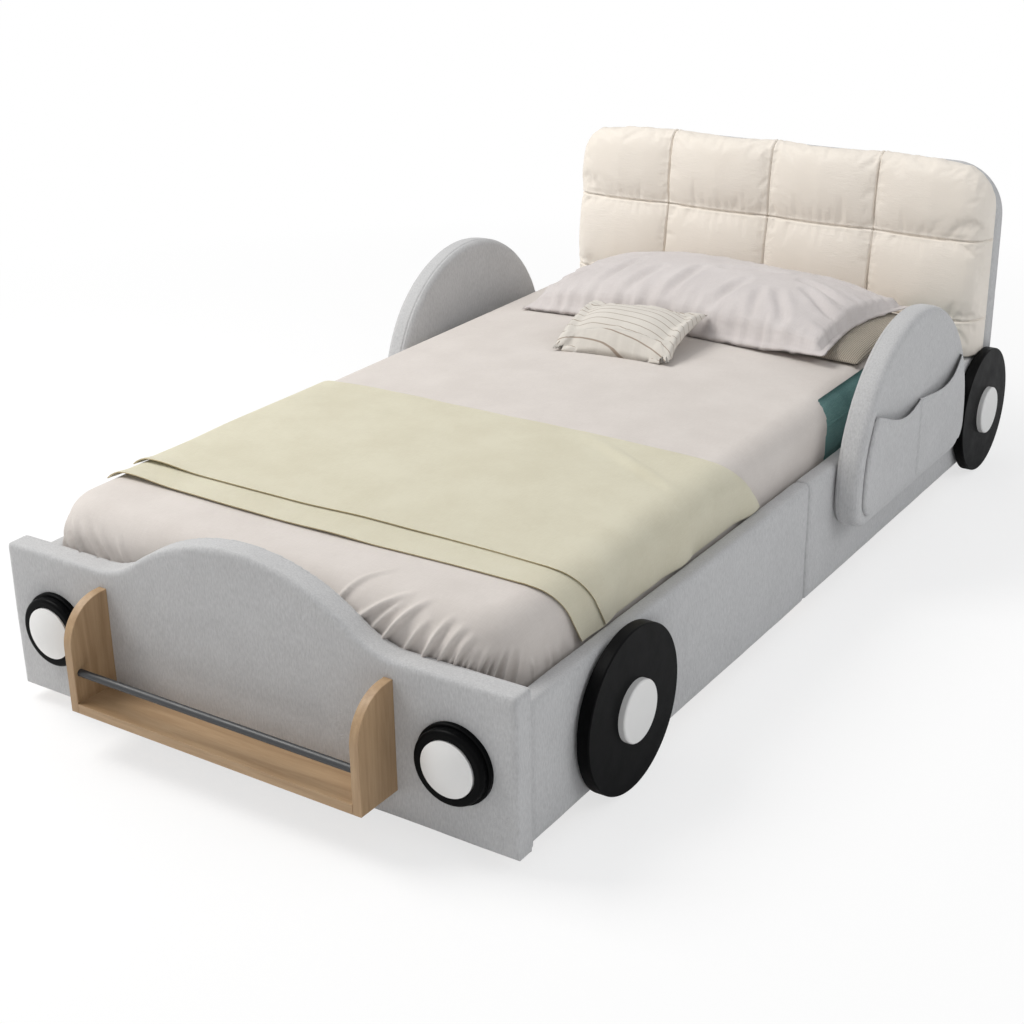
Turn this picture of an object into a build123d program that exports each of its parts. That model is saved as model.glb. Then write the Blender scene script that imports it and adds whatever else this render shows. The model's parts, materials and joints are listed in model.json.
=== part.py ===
"""Child's upholstered bed in the shape of a small car, with its bedding.

Two upholstered end boards and four upholstered side rails stand on hidden wooden legs.
The foot board carries two lamps and a small bookshelf, the rails carry four wheels and
two padded guards with pockets, and the head board carries a quilted pad.
Millimetres. X runs across the bed, +Y from foot to head, +Z up. The origin is on the
floor under the middle of the bed.
"""
from build123d import *
import math
import os

os.makedirs("parts", exist_ok=True)

# Mattress, and the room left round it
MATTRESS_WIDTH = 990
MATTRESS_LENGTH = 1900
MATTRESS_HEIGHT = 195
MATTRESS_CORNER = 95
MATTRESS_EDGE = 58
MATTRESS_CROWN = 9
SHEET_THICK = 1.5
SHEET_HEM_RISE = 22
SIDE_GAP = 10
FOOT_GAP = 3.5
HEAD_GAP = 4.5

# Panels: thickness, height above their own bottom edge, and the boards inside them
PANEL_LIFT = 30
RAIL_THICK = 38.5
RAIL_HEIGHT = 257
RAIL_BOARD = 18
RAIL_END_PADDING = 6
RAIL_ROUNDING = 11
RAIL_FRONT_LENGTH = 1024
RAIL_SEAM = 1
END_OVERHANG = 6.5
FOOT_THICK = 47
FOOT_BOARD = 25
FOOT_SHOULDER = 287
FOOT_PEAK = 397
HUMP_RADIUS = 393
HUMP_FOOT_X = 330
FOOT_ROUNDING = 8
HEAD_THICK = 55
HEAD_BOARD = 25
HEAD_HEIGHT = 698
HEAD_CORNER = 122
HEAD_ROUNDING = 13
CORNER_ROUNDING = 8.5

# Quilted pad on the head board
PAD_BOARD = 12
PAD_BOARD_INSET = 14
PAD_SIDE_INSET = 1
PAD_FLOOR = 5
PAD_TOP = 716
PAD_CORNER = 106
PAD_DEPTH = 92
PAD_RECLINE = 0.086
PAD_BULGE = 12.5
PAD_COLUMN_BULGE = 10
PAD_SEAM_LOW = 349.5
PAD_SEAM_HIGH = 536.3
PAD_COLUMN = 276.4
PAD_SIDE_ROUND = 42
PAD_TOP_ROUND = 17
PAD_SIDE_RECESS = 46

# Guards on the rear rails, each a padded disc cut off flat below its centre
GUARD_RADIUS = 313
GUARD_BELOW_CENTRE = 84
GUARD_BOTTOM = 113
GUARD_CORNER = 65
GUARD_THICK = 54
GUARD_BOARD = 24
GUARD_ROUNDING = 17
GUARD_AHEAD = 558.75
GUARD_PACKING_LENGTH = 420
GUARD_PACKING_RISE = 4
GUARD_PACKING_HEIGHT = 130
POCKET_INSET = 27
POCKET_DEPTH = 9
POCKET_CLOTH = 2.5
POCKET_SEAM = 5
POCKET_MOUTH = 350
POCKET_DIVIDER_TOP = 318
POCKET_SCOOP = 24

# Wheels, their spacers and hub caps
WHEEL_RADIUS = 149.5
WHEEL_THICK = 22
WHEEL_EDGE = 2.5
WHEEL_FLOOR_GAP = 2
WHEEL_FRONT = 322
WHEEL_REAR_AHEAD = 20
WHEEL_BOARD_GAP = 0.5
SPACER_SETBACK = 11.5
HUB_RADIUS = 56
HUB_THICK = 12.7
HUB_EDGE = 4
HUB_HOLLOW_RADIUS = 42
HUB_HOLLOW_DEPTH = 6
WHEEL_SCREW_CIRCLE = 26
WHEEL_SCREW_RADIUS = 2.5
WHEEL_SCREW_HEAD = 5
WHEEL_SCREW_HEAD_THICK = 3
WHEEL_SCREW_BITE = 12

# Lamps on the foot board
LAMP_INSET = 114
LAMP_RISE = 143
LAMP_FLANGE_RADIUS = 71
LAMP_FLANGE_THICK = 9
LAMP_RING_RADIUS = 66
LAMP_RING_DEPTH = 24
LAMP_RING_EDGE = 6
LAMP_SEAT_RADIUS = 51
LAMP_SEAT_DEPTH = 8
LAMP_DISC_RADIUS = 49
LAMP_DISC_EDGE = 10
LAMP_DISC_DOME = 9

# Bookshelf on the foot board
SHELF_WIDTH = 640
SHELF_DEPTH = 94
SHELF_PLY = 18
SHELF_BOTTOM = 54
SHELF_HEIGHT = 202
SHELF_ARC = 80
SHELF_EDGE = 1.5
ROD_RADIUS = 7
ROD_SETBACK = 14
ROD_ABOVE_BOARD = 56
ROD_SOCKET = 8
SHELF_BOLT_LOW = 36
SHELF_BOLT_HIGH = 112
SHELF_BOLT_BITE = 40

# Slats, ledgers, centre beam and legs inside the rails
SLAT_COUNT = 13
SLAT_WIDTH = 68
SLAT_THICK = 14
SLAT_TOP_HEIGHT = 180
SLAT_END_GAP = 6
SLAT_FIRST = 45
LEDGER_SIZE = 25
LEDGER_END_GAP = 2
BEAM_WIDTH = 40
BEAM_HEIGHT = 60
BEAM_LEG_WIDTH = 40
BEAM_LEG_COUNT = 3
LEG_SIZE = 45
LEG_TOP = 138
MID_LEG_LENGTH = 90

# Bolts, with the clearance round their shanks
BOLT_RADIUS = 4
BOLT_HEAD_RADIUS = 7
BOLT_HEAD_THICK = 3.5
BOLT_BITE = 14
BOLT_CLEARANCE = 0.2
BOLT_LOW = 30
BOLT_STEP = 62
BOLT_STAGGER = 24
MID_BOLT_OFFSET = 24
GUARD_BOLT_SPREAD = 170
GUARD_BOLT_LOW = 67
GUARD_BOLT_STEP = 42

# Throw blanket, folded once and laid across the foot of the mattress
BLANKET_LAYER_THICK = 3
BLANKET_LIFT = 0.4
BLANKET_FRONT = 190
BLANKET_STEP = 70
BLANKET_REAR = 805
BLANKET_LEFT_DROP = 26
BLANKET_RIGHT_DROP = 116
BLANKET_FRONT_SLANT = 72
BLANKET_REAR_SLANT = 98

# Pillows and cushion on the mattress
PILLOW_LENGTH = 800
PILLOW_WIDTH = 450
PILLOW_THICK = 112
PILLOW_EDGE = 7
PILLOW_END_RISE = 1.5
PILLOW_SHOULDER = 0.62
PILLOW_FULLNESS = 0.8
PILLOW_TURN_RISE = 0.68
PILLOW_DRAW_IN = 0.06
PILLOW_LIFT = 26
PILLOW_RAMP = 0.4
PILLOW_SQUASH = 0.6
PILLOW_X = 18
PILLOW_AHEAD = 280
PILLOW_TURN = -3
RIBBED_LENGTH = 850
RIBBED_WIDTH = 400
RIBBED_THICK = 42
RIBBED_X = 50
RIBBED_AHEAD = 280
CUSHION_LENGTH = 275
CUSHION_WIDTH = 225
CUSHION_THICK = 72
CUSHION_X = -24
CUSHION_AHEAD = 323
CUSHION_TURN = 6
CUSHION_TILT = 13
SOFT_GAP = 0.5
REST_GAP = 0.3

# Sizes that follow from the ones above
PAD_REACH = PAD_DEPTH + PAD_BULGE / 2
RAIL_SPAN = FOOT_GAP + MATTRESS_LENGTH + HEAD_GAP + PAD_REACH
OVERALL_LENGTH = (SHELF_DEPTH + FOOT_THICK + RAIL_SPAN - WHEEL_REAR_AHEAD + WHEEL_RADIUS)
FACE_Y = SHELF_DEPTH - OVERALL_LENGTH / 2
RAIL_Y = FACE_Y + FOOT_THICK
HEAD_Y = RAIL_Y + RAIL_SPAN
RAIL_IN = MATTRESS_WIDTH / 2 + SIDE_GAP
RAIL_OUT = RAIL_IN + RAIL_THICK
END_HALF = RAIL_OUT + END_OVERHANG
BASE_Z = PANEL_LIFT
SLAT_Z = BASE_Z + SLAT_TOP_HEIGHT - SLAT_THICK
MATTRESS_Z = BASE_Z + SLAT_TOP_HEIGHT
MATTRESS_Y = RAIL_Y + FOOT_GAP
MATTRESS_TOP = MATTRESS_Z + MATTRESS_HEIGHT
PILLOW_Y = MATTRESS_Y + MATTRESS_LENGTH - PILLOW_AHEAD
RIBBED_Y = MATTRESS_Y + MATTRESS_LENGTH - RIBBED_AHEAD
CUSHION_Y = PILLOW_Y - CUSHION_AHEAD
SHEET_TOP = MATTRESS_TOP + SHEET_THICK
RAIL_FOAM = (RAIL_THICK - RAIL_BOARD) / 2
FOOT_FOAM = (FOOT_THICK - FOOT_BOARD) / 2
HEAD_FOAM = (HEAD_THICK - HEAD_BOARD) / 2
GUARD_FOAM = (GUARD_THICK - GUARD_BOARD) / 2
GUARD_Y = HEAD_Y - GUARD_AHEAD
GUARD_Z = BASE_Z + GUARD_BOTTOM + GUARD_BELOW_CENTRE
GUARD_OUT = RAIL_OUT + GUARD_THICK
WHEEL_IN = END_HALF + WHEEL_BOARD_GAP
WHEEL_OUT = WHEEL_IN + WHEEL_THICK
WHEEL_Z = WHEEL_FLOOR_GAP + WHEEL_RADIUS
LAMP_X = END_HALF - LAMP_INSET
SPACER_RADIUS = WHEEL_RADIUS - SPACER_SETBACK
WHEEL_PLACES = {"front": FACE_Y + WHEEL_FRONT, "rear": HEAD_Y - WHEEL_REAR_AHEAD}
RAIL_SPANS = {
    "front": (RAIL_Y, RAIL_Y + RAIL_FRONT_LENGTH),
    "rear": (RAIL_Y + RAIL_FRONT_LENGTH + RAIL_SEAM, HEAD_Y),
}
SEAM_Y = RAIL_Y + RAIL_FRONT_LENGTH + RAIL_SEAM / 2
SHELF_Z = BASE_Z + SHELF_BOTTOM


# Helpers for boards, bars and outlines
def block(x0, x1, y0, y1, z0, z1):
    """A box between two corners."""
    middle = Pos((x0 + x1) / 2, (y0 + y1) / 2, (z0 + z1) / 2)
    return middle * Box(x1 - x0, y1 - y0, z1 - z0)


def bar_x(radius, x0, x1, y, z):
    """A round bar along X."""
    return Pos((x0 + x1) / 2, y, z) * Rot(0, 90, 0) * Cylinder(radius, x1 - x0)


def bar_y(radius, x, y0, y1, z):
    """A round bar along Y."""
    return Pos(x, (y0 + y1) / 2, z) * Rot(90, 0, 0) * Cylinder(radius, y1 - y0)


def slab_x(face, x0, x1):
    """Extrude a (y, z) outline from x0 to x1."""
    plane = Plane(origin=(x0, 0, 0), x_dir=(0, 1, 0), z_dir=(1, 0, 0))
    return extrude(plane * face, x1 - x0)


def slab_y(face, y0, y1):
    """Extrude an (x, z) outline from y0 to y1."""
    plane = Plane(origin=(0, y1, 0), x_dir=(1, 0, 0), z_dir=(0, -1, 0))
    return extrude(plane * face, y1 - y0)


def slab_z(face, z0, z1):
    """Extrude an (x, y) outline from z0 to z1."""
    return extrude(Plane.XY.offset(z0) * face, z1 - z0)


def left_of(shape):
    """The left hand copy of a right hand piece."""
    return mirror(shape, about=Plane.YZ)


def soften(shape, axis, radius, lowest=-math.inf):
    """Round the outline edges on the two faces across an axis, above a given height."""
    faces = shape.faces().sort_by(axis)
    edges = faces[0].edges() + faces[-1].edges()
    return fillet([edge for edge in edges if edge.center().Z > lowest], radius)


# Bolts and the holes they need
def bolt(reach):
    """A flat-headed bolt along +Z, with its head below the seat at z = 0."""
    shank = Cylinder(BOLT_RADIUS, reach, align=(Align.CENTER, Align.CENTER, Align.MIN))
    head = Cylinder(BOLT_HEAD_RADIUS, BOLT_HEAD_THICK, align=(Align.CENTER, Align.CENTER, Align.MAX))
    return shank + head


def bolt_hole(reach):
    """The clearance hole for a bolt's shank."""
    radius = BOLT_RADIUS + BOLT_CLEARANCE
    return Cylinder(radius, reach + BOLT_CLEARANCE, align=(Align.CENTER, Align.CENTER, Align.MIN))


def drill(shape, places):
    """Cut the shank holes of every bolt that passes through a piece."""
    for place, reach in places:
        shape -= place * bolt_hole(reach)
    return shape


def leg_bolts():
    """Places of the right hand bolts through the corner and middle legs."""
    places = []
    across = Rot(0, 90, 0)
    reach = LEG_SIZE + RAIL_FOAM + BOLT_BITE
    low = BASE_Z + BOLT_LOW
    seat_x = RAIL_IN - LEG_SIZE
    rows = [RAIL_Y + LEG_SIZE / 2, SEAM_Y - MID_BOLT_OFFSET]
    rows += [SEAM_Y + MID_BOLT_OFFSET, HEAD_Y - LEG_SIZE / 2]
    for y in rows:
        for step in range(2):
            places.append((Pos(seat_x, y, low + step * BOLT_STEP) * across, reach))
    x = RAIL_IN - LEG_SIZE / 2
    for step in range(2):
        z = low + BOLT_STAGGER + step * BOLT_STEP
        foot_reach = LEG_SIZE + FOOT_FOAM + BOLT_BITE
        head_reach = LEG_SIZE + HEAD_FOAM + BOLT_BITE
        places.append((Pos(x, RAIL_Y + LEG_SIZE, z) * Rot(90, 0, 0), foot_reach))
        places.append((Pos(x, HEAD_Y - LEG_SIZE, z) * Rot(-90, 0, 0), head_reach))
    return places


def guard_bolts():
    """Places of the right hand bolts from inside the rail into the guard."""
    places = []
    reach = RAIL_THICK + GUARD_FOAM + BOLT_BITE
    for side in (-1, 1):
        for step in range(2):
            z = BASE_Z + GUARD_BOTTOM + GUARD_BOLT_LOW + step * GUARD_BOLT_STEP
            place = Pos(RAIL_IN, GUARD_Y + side * GUARD_BOLT_SPREAD, z) * Rot(0, 90, 0)
            places.append((place, reach))
    return places


def shelf_bolts():
    """Places of the right hand bolts from behind the foot board into the shelf side."""
    x = SHELF_WIDTH / 2 - SHELF_PLY / 2
    reach = FOOT_THICK + SHELF_BOLT_BITE
    heights = (SHELF_BOLT_LOW, SHELF_BOLT_HIGH)
    return [(Pos(x, RAIL_Y, SHELF_Z + z) * Rot(90, 0, 0), reach) for z in heights]


def mirrored(places):
    """Bolt places with their left hand copies: the bolt itself is symmetric."""
    both = list(places)
    for place, reach in places:
        spot = place.position
        turn = place.orientation
        both.append((Location((-spot.X, spot.Y, spot.Z), (turn.X, -turn.Y, turn.Z)), reach))
    return both


def bolt_set(places):
    """All the bolts of one kind as a group of solids."""
    return Compound(children=[Part() + place * bolt(reach) for place, reach in mirrored(places)])


# Foot board: a flat board with straight shoulders and a rounded hump between them
def foot_outline():
    """The (x, z) outline of the foot board."""
    shoulder = BASE_Z + FOOT_SHOULDER
    centre_z = BASE_Z + FOOT_PEAK - HUMP_RADIUS
    rise = shoulder - centre_z
    hollow = (HUMP_FOOT_X**2 + rise**2 - HUMP_RADIUS**2) / (2 * (HUMP_RADIUS - rise))
    lean = math.degrees(math.atan2(rise + hollow, HUMP_FOOT_X))
    corner = CORNER_ROUNDING
    inner = END_HALF - corner
    path = Line((-END_HALF, BASE_Z), (END_HALF, BASE_Z))
    path += Line((END_HALF, BASE_Z), (END_HALF, shoulder - corner))
    path += CenterArc((inner, shoulder - corner), corner, 0, 90)
    path += Line((inner, shoulder), (HUMP_FOOT_X, shoulder))
    path += CenterArc((HUMP_FOOT_X, shoulder + hollow), hollow, 270, lean - 90)
    path += CenterArc((0, centre_z), HUMP_RADIUS, lean, 180 - 2 * lean)
    path += CenterArc((-HUMP_FOOT_X, shoulder + hollow), hollow, 360 - lean, lean - 90)
    path += Line((-HUMP_FOOT_X, shoulder), (-inner, shoulder))
    path += CenterArc((-inner, shoulder - corner), corner, 90, 90)
    path += Line((-END_HALF, shoulder - corner), (-END_HALF, BASE_Z))
    return make_face(path)


def inner_outline(outline, padding, half_width):
    """An outline drawn in by its padding, but carried down to the open bottom edge."""
    inner = offset(outline, -padding, kind=Kind.INTERSECTION)
    foot = Pos(0, BASE_Z + padding) * Rectangle(2 * (half_width - padding), 2 * padding)
    return inner + foot


def foot_board_solid():
    """The board inside the foot board, flush with the open bottom of its cover."""
    inner = inner_outline(foot_outline(), FOOT_FOAM, END_HALF)
    return slab_y(inner, FACE_Y + FOOT_FOAM, RAIL_Y - FOOT_FOAM)


def footboard_core():
    return drill(foot_board_solid(), mirrored(leg_bolts() + shelf_bolts()))


def footboard_cover():
    cover = soften(slab_y(foot_outline(), FACE_Y, RAIL_Y), Axis.Y, FOOT_ROUNDING, BASE_Z + 1)
    cover -= foot_board_solid()
    return drill(cover, mirrored(leg_bolts() + shelf_bolts()))


# Side rails, modelled on the right
def rail_board(y0, y1):
    """The board inside one rail, flush with the open bottom of its cover."""
    top = BASE_Z + RAIL_HEIGHT - RAIL_FOAM
    x0 = RAIL_IN + RAIL_FOAM
    return block(x0, x0 + RAIL_BOARD, y0 + RAIL_END_PADDING, y1 - RAIL_END_PADDING, BASE_Z, top)


def rail_core(end):
    board = rail_board(*RAIL_SPANS[end])
    return drill(board, leg_bolts() + guard_bolts() + wheel_screw_places(end))


def rail_cover(end):
    y0, y1 = RAIL_SPANS[end]
    body = block(RAIL_IN, RAIL_OUT, y0, y1, BASE_Z, BASE_Z + RAIL_HEIGHT)
    upper = [edge for edge in body.edges() if edge.center().Z > BASE_Z + 1]
    cover = fillet([edge for edge in upper if not abs(edge.tangent_at(0.5).X) > 0.5], RAIL_ROUNDING / 2)
    cover -= rail_board(y0, y1)
    return drill(cover, leg_bolts() + guard_bolts() + wheel_screw_places(end))


# Head board
def head_outline():
    """The (x, z) outline of the head board."""
    width = 2 * END_HALF
    face = Pos(0, BASE_Z + HEAD_HEIGHT / 2) * Rectangle(width, HEAD_HEIGHT)
    return fillet(face.vertices().sort_by(Axis.Y)[-2:], HEAD_CORNER)


def head_board_solid():
    """The board inside the head board, flush with the open bottom of its cover."""
    inner = inner_outline(head_outline(), HEAD_FOAM, END_HALF)
    return slab_y(inner, HEAD_Y + HEAD_FOAM, HEAD_Y + HEAD_THICK - HEAD_FOAM)


def headboard_core():
    return drill(head_board_solid(), mirrored(leg_bolts()))


def headboard_cover():
    body = slab_y(head_outline(), HEAD_Y, HEAD_Y + HEAD_THICK)
    cover = soften(body, Axis.Y, HEAD_ROUNDING, BASE_Z + 1) - head_board_solid()
    return drill(cover, mirrored(leg_bolts()))


# Quilted pad: every section across X has three bulging rows between sewn seams
def pad_bottom():
    """The pad's lower edge, just above the tops of the rails."""
    return BASE_Z + RAIL_HEIGHT + PAD_FLOOR


def pad_corner_drop(x, radius):
    """How far a rounded top corner lies below the top at a distance x from the middle."""
    over = abs(x) - (END_HALF - PAD_SIDE_INSET - PAD_CORNER)
    if over <= 0:
        return 0
    return radius - math.sqrt(radius**2 - min(over, radius)**2)


def pad_section(x):
    """One closed (y, z) section of the pad at a given x."""
    half = END_HALF - PAD_SIDE_INSET
    column = abs(x) % PAD_COLUMN / PAD_COLUMN
    swell = math.sin(math.pi * min(column, 1)) if abs(x) < half else 0
    side = max(0.0, abs(x) - half + PAD_SIDE_ROUND) / PAD_SIDE_ROUND
    recess = PAD_SIDE_RECESS * (1 - math.sqrt(1 - min(side, 1)**2))
    top = BASE_Z + PAD_TOP - pad_corner_drop(x, PAD_CORNER)
    brow = top - PAD_TOP_ROUND
    seams = [brow, BASE_Z + PAD_SEAM_HIGH, BASE_Z + PAD_SEAM_LOW, pad_bottom()]
    rise = PAD_SEAM_HIGH - PAD_SEAM_LOW

    def front(z):
        lean = PAD_RECLINE * max(0, z - BASE_Z - PAD_SEAM_LOW)
        return HEAD_Y - PAD_DEPTH + lean + recess + PAD_COLUMN_BULGE * (1 - swell)

    crown = (HEAD_Y - (HEAD_Y - front(brow)) * 0.45, top)
    points = [(x, front(z), z) for z in seams]
    edges = [Line((x, HEAD_Y, pad_bottom()), (x, HEAD_Y, brow))]
    edges.append(ThreePointArc((x, HEAD_Y, brow), (x, *crown), points[0]))
    for upper, lower in zip(points, points[1:]):
        bulge = PAD_BULGE * (upper[2] - lower[2]) / rise * (0.55 + 0.45 * swell)
        middle = (x, (upper[1] + lower[1]) / 2 - min(bulge, PAD_BULGE), (upper[2] + lower[2]) / 2)
        edges.append(ThreePointArc(upper, middle, lower))
    edges.append(Line(points[-1], (x, HEAD_Y, pad_bottom())))
    return Wire(edges)


def pad_stations():
    """Where the pad's sections stand: close together at the seams and at the rounded sides."""
    half = END_HALF - PAD_SIDE_INSET
    shares = (0.0, 0.07, 0.25, 0.5, 0.75, 0.93)
    right = [PAD_COLUMN * share for share in shares]
    right += [PAD_COLUMN * (1 + share) for share in (0.0, 0.07, 0.25, 0.5)]
    right += [half - PAD_SIDE_ROUND * share for share in (1.4, 0.8, 0.35, 0.1, 0.0)]
    return [-x for x in reversed(right[1:])] + right


def pad_board():
    """The plywood back of the pad, screwed to the head board."""
    half = END_HALF - PAD_SIDE_INSET - PAD_BOARD_INSET
    low = pad_bottom() + PAD_BOARD_INSET
    high = BASE_Z + PAD_TOP - PAD_TOP_ROUND - PAD_BOARD_INSET
    face = Pos(0, (low + high) / 2) * Rectangle(2 * half, high - low)
    face = fillet(face.vertices().sort_by(Axis.Y)[-2:], PAD_CORNER)
    return slab_y(face, HEAD_Y - PAD_BOARD, HEAD_Y)


def headboard_pad():
    sections = [pad_section(x) for x in pad_stations()]
    return Solid.make_loft(sections, ruled=True) - pad_board()


# Guards, modelled on the right
def guard_outline(inset=0.0):
    """The (y, z) outline of a guard, drawn in by an inset."""
    radius = GUARD_RADIUS - inset
    corner = GUARD_CORNER - inset
    bottom = GUARD_Z - GUARD_BELOW_CENTRE + inset
    corner_z = bottom + corner
    corner_y = math.sqrt((radius - corner) ** 2 - (corner_z - GUARD_Z) ** 2)
    dip = math.degrees(math.atan2(GUARD_Z - corner_z, corner_y))
    path = Line((GUARD_Y - corner_y, bottom), (GUARD_Y + corner_y, bottom))
    path += CenterArc((GUARD_Y + corner_y, corner_z), corner, -90, 90 - dip)
    path += CenterArc((GUARD_Y, GUARD_Z), radius, -dip, 180 + 2 * dip)
    path += CenterArc((GUARD_Y - corner_y, corner_z), corner, 180 + dip, 90 - dip)
    return make_face(path)


def guard_board():
    """The guard's board, with the packing block that seats on the rail."""
    inner = RAIL_OUT + GUARD_FOAM
    board = slab_x(guard_outline(GUARD_FOAM), inner, inner + GUARD_BOARD)
    half = GUARD_PACKING_LENGTH / 2
    low = BASE_Z + GUARD_BOTTOM + GUARD_PACKING_RISE
    packing = block(RAIL_OUT, inner, GUARD_Y - half, GUARD_Y + half, low, low + GUARD_PACKING_HEIGHT)
    return board + packing


def guard_core():
    return drill(guard_board(), guard_bolts())


def guard_cover():
    body = soften(slab_x(guard_outline(), RAIL_OUT, GUARD_OUT), Axis.X, GUARD_ROUNDING)
    return body - guard_board()


def pocket_mouths(inset):
    """The (y, z) region under the two scooped pocket mouths, drawn in at every side."""
    region = None
    for side in (-1, 1):
        near = GUARD_Y + side * inset
        far = GUARD_Y + side * GUARD_RADIUS
        low = GUARD_Z - GUARD_BELOW_CENTRE
        divider = BASE_Z + POCKET_DIVIDER_TOP
        mouth = BASE_Z + POCKET_MOUTH
        dip = ((near + far) / 2, (divider + mouth) / 2 - POCKET_SCOOP)
        path = Line((near, divider), (near, low)) + Line((near, low), (far, low))
        path += Line((far, low), (far, mouth)) + ThreePointArc((far, mouth), dip, (near, divider))
        half = make_face(path)
        region = half if region is None else region + half
    return region


def guard_pockets():
    """One cloth panel with two pockets, sewn round its edge and down its middle."""
    outer = guard_outline(POCKET_INSET) & pocket_mouths(0)
    panel = slab_x(outer, GUARD_OUT, GUARD_OUT + POCKET_DEPTH + POCKET_CLOTH)
    hollow = slab_x(guard_outline(POCKET_INSET + POCKET_SEAM), GUARD_OUT, GUARD_OUT + POCKET_DEPTH)
    seam = POCKET_SEAM / 2
    top = BASE_Z + POCKET_MOUTH
    divider = block(GUARD_OUT, GUARD_OUT + POCKET_DEPTH, GUARD_Y - seam, GUARD_Y + seam, BASE_Z, top)
    return panel - (hollow - divider)


# Wheels, spacers and hub caps, modelled on the right
def wheel_screw_places(end):
    """Places and reach of one wheel's three screws."""
    y = WHEEL_PLACES[end]
    reach = WHEEL_OUT - RAIL_OUT + RAIL_FOAM + WHEEL_SCREW_BITE
    step = WHEEL_SCREW_CIRCLE
    spots = [(0, step), (-step, 0), (-step, -step)]
    return [(Pos(WHEEL_OUT, y + dy, WHEEL_Z + dz) * Rot(0, -90, 0), reach) for dy, dz in spots]


def wheel_screw(reach):
    """One wheel screw along +Z, with its head below z = 0."""
    shank = Cylinder(WHEEL_SCREW_RADIUS, reach, align=(Align.CENTER, Align.CENTER, Align.MIN))
    head = Cylinder(WHEEL_SCREW_HEAD, WHEEL_SCREW_HEAD_THICK, align=(Align.CENTER, Align.CENTER, Align.MAX))
    return shank + head


def wheel_screws():
    screws = []
    for end in WHEEL_PLACES:
        for place, reach in mirrored(wheel_screw_places(end)):
            screws.append(Part() + place * wheel_screw(reach))
    return Compound(children=screws)


def wheel(end):
    body = bar_x(WHEEL_RADIUS, WHEEL_IN, WHEEL_OUT, WHEEL_PLACES[end], WHEEL_Z)
    body = fillet(body.edges().sort_by(Axis.X)[-1:], WHEEL_EDGE)
    return drill(body, wheel_screw_places(end))


def wheel_spacer(end):
    """The disc that carries a wheel clear of the end board, cut off in front of that board."""
    y = WHEEL_PLACES[end]
    body = bar_x(SPACER_RADIUS, RAIL_OUT, WHEEL_IN, y, WHEEL_Z)
    board_y = HEAD_Y - WHEEL_BOARD_GAP
    body -= block(RAIL_OUT, WHEEL_IN, board_y, board_y + 2 * SPACER_RADIUS, 0, 2 * WHEEL_Z)
    return drill(body, wheel_screw_places(end))


def wheel_spacers():
    right = [wheel_spacer(end) for end in WHEEL_PLACES]
    return Compound(children=[Part() + piece for piece in right + [left_of(piece) for piece in right]])


def hub_cap(end):
    y = WHEEL_PLACES[end]
    body = bar_x(HUB_RADIUS, WHEEL_OUT, WHEEL_OUT + HUB_THICK, y, WHEEL_Z)
    body = fillet(body.edges().sort_by(Axis.X)[-1:], HUB_EDGE)
    return body - bar_x(HUB_HOLLOW_RADIUS, WHEEL_OUT, WHEEL_OUT + HUB_HOLLOW_DEPTH, y, WHEEL_Z)


# Lamps, modelled on the right
def lamp_ring():
    z = BASE_Z + LAMP_RISE
    flange = bar_y(LAMP_FLANGE_RADIUS, LAMP_X, FACE_Y - LAMP_FLANGE_THICK, FACE_Y, z)
    flange = fillet(flange.edges().sort_by(Axis.Y)[:1], LAMP_RING_EDGE / 2)
    ring = bar_y(LAMP_RING_RADIUS, LAMP_X, FACE_Y - LAMP_RING_DEPTH, FACE_Y, z)
    ring = fillet(ring.edges().sort_by(Axis.Y)[:1], LAMP_RING_EDGE)
    front = FACE_Y - LAMP_RING_DEPTH
    return flange + ring - bar_y(LAMP_SEAT_RADIUS, LAMP_X, front, front + LAMP_SEAT_DEPTH, z)


def lamp_disc():
    """A white disc with a domed face, seated in the ring."""
    z = BASE_Z + LAMP_RISE
    back = FACE_Y - LAMP_RING_DEPTH + LAMP_SEAT_DEPTH
    front = back - LAMP_DISC_EDGE - LAMP_DISC_DOME
    radius = (LAMP_DISC_RADIUS**2 + LAMP_DISC_DOME**2) / (2 * LAMP_DISC_DOME)
    dome = Pos(LAMP_X, front + radius, z) * Sphere(radius)
    return bar_y(LAMP_DISC_RADIUS, LAMP_X, front, back, z) & dome


# Bookshelf
def shelf_side():
    """The right hand side board, with its large round at the top front."""
    low = SHELF_Z
    high = SHELF_Z + SHELF_HEIGHT
    front = FACE_Y - SHELF_DEPTH
    path = Line((FACE_Y, low), (front, low)) + Line((front, low), (front, high - SHELF_ARC))
    path += CenterArc((front + SHELF_ARC, high - SHELF_ARC), SHELF_ARC, 180, -90)
    path += Line((front + SHELF_ARC, high), (FACE_Y, high)) + Line((FACE_Y, high), (FACE_Y, low))
    side = slab_x(make_face(path), SHELF_WIDTH / 2 - SHELF_PLY, SHELF_WIDTH / 2)
    edges = [edge for edge in side.edges() if edge.center().Y < FACE_Y - 1]
    side = fillet([edge for edge in edges if not abs(edge.tangent_at(0.5).X) > 0.5], SHELF_EDGE)
    side -= rod_body()
    return drill(side, shelf_bolts())


def shelf_board():
    half = SHELF_WIDTH / 2 - SHELF_PLY
    return block(-half, half, FACE_Y - SHELF_DEPTH, FACE_Y, SHELF_Z, SHELF_Z + SHELF_PLY)


def rod_body():
    """The rod that keeps the books in, let into both sides."""
    half = SHELF_WIDTH / 2 - SHELF_PLY + ROD_SOCKET
    y = FACE_Y - SHELF_DEPTH + ROD_SETBACK
    return bar_x(ROD_RADIUS, -half, half, y, SHELF_Z + SHELF_PLY + ROD_ABOVE_BOARD)


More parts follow.
